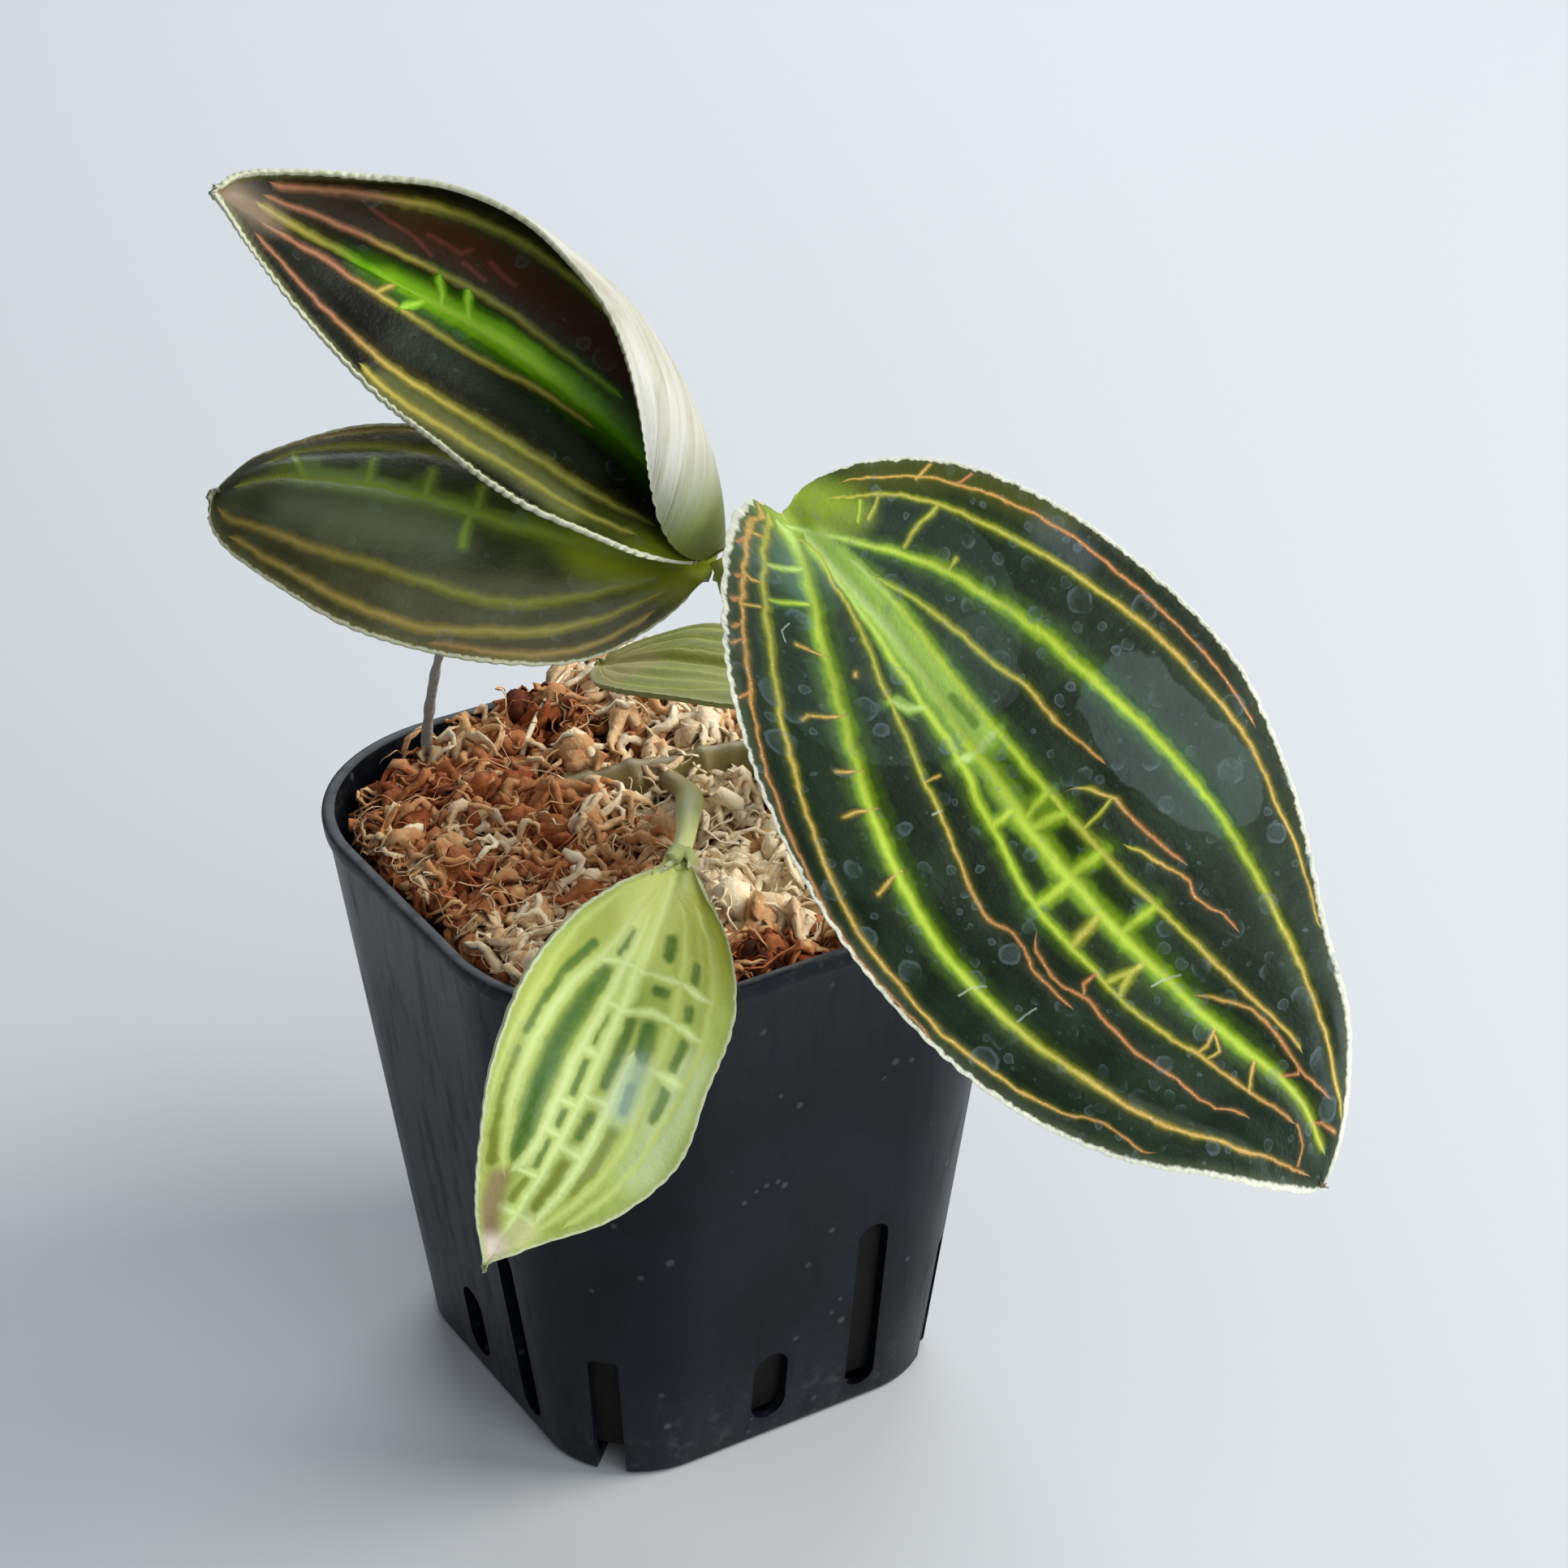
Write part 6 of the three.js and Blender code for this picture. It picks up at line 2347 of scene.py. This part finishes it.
LEFT_LEAF = Leaf(
    name="left_leaf", node="leaf_left", slot="leaf_olive",
    form=LeafForm(
        base=(23.3, -7.1, 114.6), length=53.5, heading=(-112, -20.5, -17), pitch=(14, 31, -62.5),
        roll=(43, -15.5, 0), tip_shift=-2.5, left=(2, 7, 12, 14.5, 15.5, 15, 12.5, 9.5, 5),
        right=(4, 7.5, 10, 11, 11, 9.5, 7.5, 5, 4), fold_left=(-1.5, 1.5), fold_right=(0.5, -5.5),
        curl_left=(-14.5, 0.5), curl_right=(-12.5, -4.5), lobe_left=-1.5, lobe_right=4,
        first_station=0.04,
    ),
    relief=Relief(
        tooth=1.9, tooth_depth=0.22, swell=0.12, ripple=0.1, seed=8,
        valleys=(
            (((0, 0), (16, 0), (35, 0.8), (52, 0)), 0.4, 0.9),
            (((5, -1.6), (13, -5.6), (25, -8.7), (40, -7.6), (52, -2)), 0.22, 0.8),
            (((5, 1.6), (17, 5), (33, 6.2), (50, 2.4)), 0.2, 0.8),
            (((4, -2.6), (14, -9.3), (30, -13.2), (50, -6.2)), 0.14, 0.7),
        ),
    ),
    upper=LeafFinish(
        name="Left leaf skin", length=53.5, blade=(44, 48, 22), blade_light=(72, 76, 44),
        markings=LEFT_MARKINGS,
        shades=(
            Shade(PALE, (134, 150, 52), (104, 120, 30), (66, 74, 18)),
            Shade(GREEN, (124, 142, 50), (92, 106, 26), (56, 62, 16)),
            Shade(OLIVE, (122, 124, 48), (96, 98, 32), (66, 68, 24)),
            Shade(GOLD, (138, 122, 60), (106, 94, 40), (70, 64, 28)),
            Shade(ORANGE, (122, 96, 54), (94, 74, 38), (68, 56, 28)),
        ),
        washes=(
            # painted sheen: these two grey washes stand for satin light on the blade
            wash((112, 118, 88), 0.55, (0.0, 1.5), (3.4, (28, -3.4), (44, -3.6))),
            wash((84, 90, 76), 0.5, (0.0, 1.5), (2.4, (36, 3.2), (46, 2.6))),
            wash((86, 84, 50), 0.4, (0.3, 1.4), (2.2, (12, -5), (36, -11))),
            wash((92, 108, 32), 0.8, (0.3, 1.3), (2.2, (0, 0), (16, 0.2), (33, 1), (46, 1.2))),
            wash((128, 144, 84), 0.6, (0.0, 1.4), (1.6, (34, 0.6), (44, 0.6))),
            wash((134, 144, 24), 0.9, (0.2, 1.3), (4.4, (0, 0), (13, 0))),
            wash(
                (44, 48, 20), 0.8, (0.2, 1.2), (0.8, (22, 1.9), (24, 1.9)),
                (1.3, (27.8, 2.4), (29.2, 2.6)), (1.3, (33.5, 2.5), (35.6, 2.6)),
                (1.2, (39.5, 2.7), (41.8, 2.8)),
            ),
        ),
        margin=Margin((170, 170, 140), (98, 92, 50), 0.55),
        glow_strength=0.75, marks_share=0.2, dust=0.12,
    ),
    under=UndersideFinish("Left leaf underside", (128, 118, 96), (102, 91, 69), (112, 118, 50)),
    rows=200, columns=60,
)
LOW_MARKINGS = (
    vein(
        (PALE,), (0.9, 0.7, 0.5, 0.35), (0, 0.2), (10, 0.4), (20, 0.9), (27, 1), (40, 0.5),
        (53, 0.8),
    ),
    vein(
        (GREEN, PALE, GREEN), (0.35, 0.55, 0.55, 0.4), (8, 1.6), (14, 3.6), (20, 5.4), (23, 7),
        (27, 8.2), (31, 8.6), (36, 8), (41, 6.3), (44, 4.4), (45.5, 3),
    ),
    vein(
        (PALE,), (0.35, 0.5, 0.5, 0.4), (12, 1.8), (18, 2.4), (25, 3.1), (30, 3.6), (36, 3.3),
        (41, 2.8), (44.5, 3.6),
    ),
    vein(
        (GREEN,), (0.3, 0.5, 0.45, 0.3), (6, 2.6), (12, 6.2), (20, 9.8), (26, 11), (33, 11),
        (40, 9), (48, 5),
    ),
    vein((PALE,), (0.35, 0.45, 0.35), (27, -2.2), (32, -2.3), (36, -2.4), (42, -2.4), (48, -1.4)),
    vein(
        (GREEN,), (0.3, 0.5, 0.6, 0.4), (8, -1), (14, -3.2), (20, -4.2), (24, -4.7), (30, -5.1),
        (36, -5.8), (41, -5.3), (46, -3.4), (49, -1.6),
    ),
    vein(
        (GREEN,), (0.3, 0.5, 0.5, 0.3), (8, -2.6), (14, -6.2), (20, -7.9), (27, -8.6), (33, -8.4),
        (40, -7.5), (47, -4.4),
    ),
    *strokes(
        (0.32, PALE, (20.6, 5.6), (19.6, 3), (18.9, 0), (18.5, -4), (18.9, -7.6)),
        (0.34, PALE, (24.4, 3.2), (24, 0.6), (22.8, -2), (22.8, -4.6), (23, -8)),
        (0.45, PALE, (29.9, 3.6), (29.8, 1)), (0.35, PALE, (35.5, 3.4), (35.3, 0.8)),
        (0.35, PALE, (38.7, 3.1), (38.6, 0.7)), (0.4, PALE, (33.8, 0.6), (33.6, -2.3)),
        (0.45, PALE, (39.4, 0.4), (39.6, -2.3)), (0.5, PALE, (28.2, -4.9), (28, -8.5)),
        (0.3, PALE, (43.4, 1), (43.4, 2.9)), (0.4, PALE, (47.6, 2.6), (47.8, -1.2)),
    ),
)
LOW_CELLS = (
    (1.5, (22, 4.4), (26, 5.5), (30, 6.1), (35, 5.8), (39, 4.9), (42, 4.2)),
    (0.7, (19.5, 6.9), (23, 8.6), (27, 9.7), (31, 10)), (0.75, (15.9, 3.1), (18.7, 3.4)),
    (0.7, (26, 2.1), (28.6, 2.1)), (0.75, (31.2, 2.1), (34.1, 2.1)),
    (0.65, (36.6, 1.8), (37.6, 1.8)), (0.55, (40, 1.7), (42.3, 1.7)),
    (0.85, (14, -1.7), (16.2, -1.9)), (0.8, (16.1, -4.9), (17.9, -5.1)),
    (0.75, (20.3, -3), (20.3, -2)), (0.85, (20.8, -5.8), (21.4, -5.8)),
    (0.75, (24.3, -6.6), (26.9, -6.6)), (1.1, (24.4, -2.6), (27.4, -3.2)),
    (0.75, (24.6, -0.6), (31.9, -0.9)), (0.8, (35.6, -1.1), (37.6, -1.1)),
    (0.75, (29.5, -7), (32.5, -7.2)), (0.9, (31, -3.6), (33, -3.8)),
)
LOW_OLD_CELLS = (
    (0.7, (33.5, 9.8), (37, 9), (41, 7.6), (44, 6)), (0.55, (44.4, 1.7), (46.6, 1.9)),
    (1.05, (35.9, -3.9), (43.1, -3.9)), (0.7, (41.2, -1.1), (46.2, -0.9)),
)
LOW_LEAF = Leaf(
    name="low_leaf", node="leaf_low_pale", slot="leaf_pale",
    form=LeafForm(
        base=(24, -12, 82.7), length=54.5, heading=(-37.5, -20, -42), pitch=(2, -82.5, 26),
        roll=(21, 41, 0), tip_shift=0.5, left=(1.5, 3.5, 7.5, 10.5, 11, 12, 9, 3.5, 0.3),
        right=(1, 3, 7, 11, 13, 11.5, 8, 4.5, 1), fold_left=(23.5, -38), fold_right=(25, -20.5),
        curl_left=(3.5, -18.5), curl_right=(3.5, -10.5), lobe_left=-5, lobe_right=-5,
        first_station=0.05,
    ),
    relief=Relief(
        tooth=2.1, tooth_depth=0.2, swell=0.14, ripple=0.1, seed=11,
        valleys=(
            (((0, 0), (20, 0.2), (40, 0.2), (54, 0.4)), 0.4, 0.9),
            (((6, 2.2), (16, 4.6), (32, 7.4), (50, 2.6)), 0.2, 0.8),
            (((6, -2.6), (16, -6.2), (32, -8.4), (50, -2.6)), 0.2, 0.8),
        ),
    ),
    upper=LeafFinish(
        name="Low leaf skin", length=54.5, blade=(142, 156, 66), blade_light=(168, 182, 90),
        markings=LOW_MARKINGS,
        shades=(
            Shade(PALE, (196, 208, 134), (178, 190, 108), (156, 170, 84)),
            Shade(GREEN, (180, 190, 102), (166, 176, 86), (152, 164, 76)),
        ),
        washes=(
            wash((200, 208, 120), 0.8, (0.2, 1.4), (5.0, (0, 1), (16, 2))),
            wash((148, 150, 40), 0.75, (0.3, 1.4), (3.6, (2, -4), (14, -6))),
            # painted sheen: a pale whitish patch of reflected light
            wash((188, 198, 150), 0.55, (0.2, 1.4), (2.6, (26, -8.4), (38, -9))),
            wash((212, 204, 152), 0.6, (0.2, 1.4), (2.0, (48.5, -0.8), (52, 0))),
            wash((158, 162, 62), 0.5, (0.3, 1.4), (2.0, (16, 6.5), (28, 11.5), (34, 11.5))),
            wash((64, 98, 22), 1.0, (0.35, 1.3), *LOW_CELLS),
            wash((104, 112, 16), 0.95, (0.3, 1.35), *LOW_OLD_CELLS),
            wash(
                (132, 98, 78), 0.8, (0.1, 1.6), (1.3, (45.5, 4.2), (48.5, 3.4), (51, 1.6)),
                over=True,
            ),
            # painted reflection: a bluish-white sheen patch
            wash((160, 180, 176), 0.45, (0.0, 1.3), (2.4, (29, -3.2), (33, -3.6)), over=True),
            wash((224, 204, 190), 0.9, (0.4, 1.3), (2.6, (53, 1), (55, 1)), over=True),
        ),
        margin=Margin((186, 190, 150), (156, 162, 88), 0.5),
        glow_strength=0.3, marks_share=0.15, dust=0.08,
    ),
    under=UndersideFinish("Low leaf underside", (178, 184, 138), (158, 166, 112), (160, 168, 100)),
    rows=200, columns=64,
)
BACK_LEAF = Leaf(
    name="back_leaf", node="leaf_back_pale", slot="leaf_yellow",
    form=LeafForm(
        base=(19, 7.5, 93.8), length=31, heading=(-152, -12, 0), pitch=(6, -35, 0), roll=(4, 8, 0),
        tip_shift=0.5, left=(3.5, 6, 7.5, 8, 8, 7.5, 6, 4, 2),
        right=(3, 5.5, 7, 7.5, 7.5, 7, 5.5, 4, 2), fold_left=(14, -6), fold_right=(12, -6),
        curl_left=(-16, 4), curl_right=(-18, 4), lobe_left=0, lobe_right=0, first_station=0.05,
    ),
    relief=Relief(
        tooth=1.6, tooth_depth=0.18, swell=0.1, ripple=0.08, seed=14,
        valleys=(
            (((0, 0), (31, 0)), 0.3, 0.8),
            (((1, 0.4), (8, 3.2), (16, 4.2), (24, 3.2), (30, 0.4)), 0.14, 0.7),
            (((1, -0.4), (8, -3.2), (16, -4.2), (24, -3.2), (30, -0.4)), 0.14, 0.7),
        ),
    ),
    upper=LeafFinish(
        name="Back leaf skin", length=31, blade=(104, 114, 20), blade_light=(128, 132, 34),
        markings=tuple(
            vein(
                (PALE,), (0.3, 0.35, 0.2), (1, 0.1 * y), (8, 0.75 * y), (16, y), (24, 0.75 * y),
                (30, 0.1 * y),
            )
            for y in (-6.4, -4.2, -2.1, 0.0, 2.1, 4.2, 6.4)
        ),
        shades=(Shade(PALE, (142, 148, 52), (128, 136, 40), (116, 124, 30)),),
        washes=(
            wash((84, 90, 24), 0.4, (0.2, 1.4), (2.2, (9, 3), (17, 4))),
            wash((166, 148, 92), 0.7, (0.3, 1.3), (4.4, (24, -2), (31, 0)), over=True),
        ),
        margin=Margin((146, 146, 84), (124, 124, 56), 0.5),
        marks_share=0.1, roughness=0.5, dust=0.06,
    ),
    under=UndersideFinish("Back leaf underside", (150, 148, 92), (124, 122, 66), (130, 136, 60)),
    rows=120, columns=44,
)
LEAVES = (FRONT_LEAF, UPPER_LEAF, LEFT_LEAF, LOW_LEAF, BACK_LEAF)


# ---------------------------------------------------------------- studio


@dataclass
class Studio:
    """The floor, the lights and the camera."""

    yaw: float = 58.6
    elevation: float = 30.2
    tilt: float = -0.2
    eye: Place = (344.0, -194.5, 305.3)
    view_angle: float = 22.0
    floor_tone: Tone = (194, 196, 198)
    world_tone: Tone = (206, 216, 228)
    world_strength: float = 0.34

    def build(self) -> None:
        """Sets up the floor, the lights, the camera and the way tones are shown."""
        self._floor()
        self._camera()
        self._area("key", (0.36, 0.6, 0.66), 0.5, 8.0, (1.0, 0.985, 0.96))
        self._area("window", (-0.62, 0.42, 0.58), 0.7, 5.0, (0.93, 0.97, 1.0))
        self._area("fill", (0.75, -0.1, 0.8), 0.8, 3.0, (1.0, 1.0, 1.0))
        self._area("side", (0.9, 0.25, 0.2), 0.5, 4.6, (0.8, 0.92, 1.0))
        world = bpy.data.worlds.new("Studio")
        world.use_nodes = True
        background = world.node_tree.nodes["Background"]
        background.inputs["Color"].default_value = linear(self.world_tone)
        background.inputs["Strength"].default_value = self.world_strength
        scene = bpy.context.scene
        scene.world = world
        scene.view_settings.view_transform = "Standard"
        scene.view_settings.look = "None"
        scene.view_settings.exposure = 0.0

    def _floor(self) -> None:
        """Lays the pale floor."""
        deselect_all()
        bpy.ops.mesh.primitive_circle_add(
            vertices=96, radius=4.0, fill_type="NGON", location=(0, 0, -0.0002)
        )
        floor = bpy.context.object
        floor.name = "floor"
        apply_place()
        material = bpy.data.materials.new("Pale floor")
        material.use_nodes = True
        surface = material.node_tree.nodes["Principled BSDF"]
        surface.inputs["Base Color"].default_value = linear(self.floor_tone)
        surface.inputs["Roughness"].default_value = 0.8
        floor.data.materials.append(material)

    def _area(self, name: str, place: Place, size: float, power: float, colour: Place) -> None:
        """Hangs a soft square light that faces the plant.

        Args:
            name: The light's name.
            place: Where it hangs, in metres.
            size: Its side.
            power: Its power in watts.
            colour: Its colour.
        """
        light = bpy.data.lights.new(name, "AREA")
        light.size = size
        light.energy = power
        light.color = colour
        lamp = bpy.data.objects.new(name, light)
        lamp.location = place
        aim = Vector((0.015, 0.0, 0.09)) - Vector(place)
        lamp.rotation_euler = aim.to_track_quat("-Z", "Y").to_euler()
        bpy.context.scene.collection.objects.link(lamp)

    def _camera(self) -> None:
        """Places the camera."""
        yaw, rise, tilt = (math.radians(a) for a in (self.yaw, self.elevation, self.tilt))
        back = Vector(
            (math.sin(yaw) * math.cos(rise), -math.cos(yaw) * math.cos(rise), math.sin(rise))
        )
        right = (-back).cross(Vector((0, 0, 1))).normalized()
        up = right.cross(-back)
        turned_right = right * math.cos(tilt) + up * math.sin(tilt)
        turned_up = up * math.cos(tilt) - right * math.sin(tilt)
        camera = bpy.data.cameras.new("camera")
        camera.sensor_width = 36.0
        camera.angle = math.radians(self.view_angle)
        camera.clip_start = 0.01
        seat = bpy.data.objects.new("camera", camera)
        matrix = Matrix((turned_right, turned_up, back)).transposed().to_4x4()
        matrix.translation = Vector(self.eye) * MM
        seat.matrix_world = matrix
        bpy.context.scene.collection.objects.link(seat)
        bpy.context.scene.camera = seat


def main() -> None:
    """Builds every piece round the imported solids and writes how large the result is."""
    shared = SharedEffects()
    pot = NurseryPot()
    pot.build(shared)
    MediumBed(pot).build(shared)
    ShootParts().build(LEAVES, shared)
    DryStalk().build(shared)
    for leaf in LEAVES:
        leaf.build(shared)
    Studio().build()


if __name__ == "__main__":
    main()
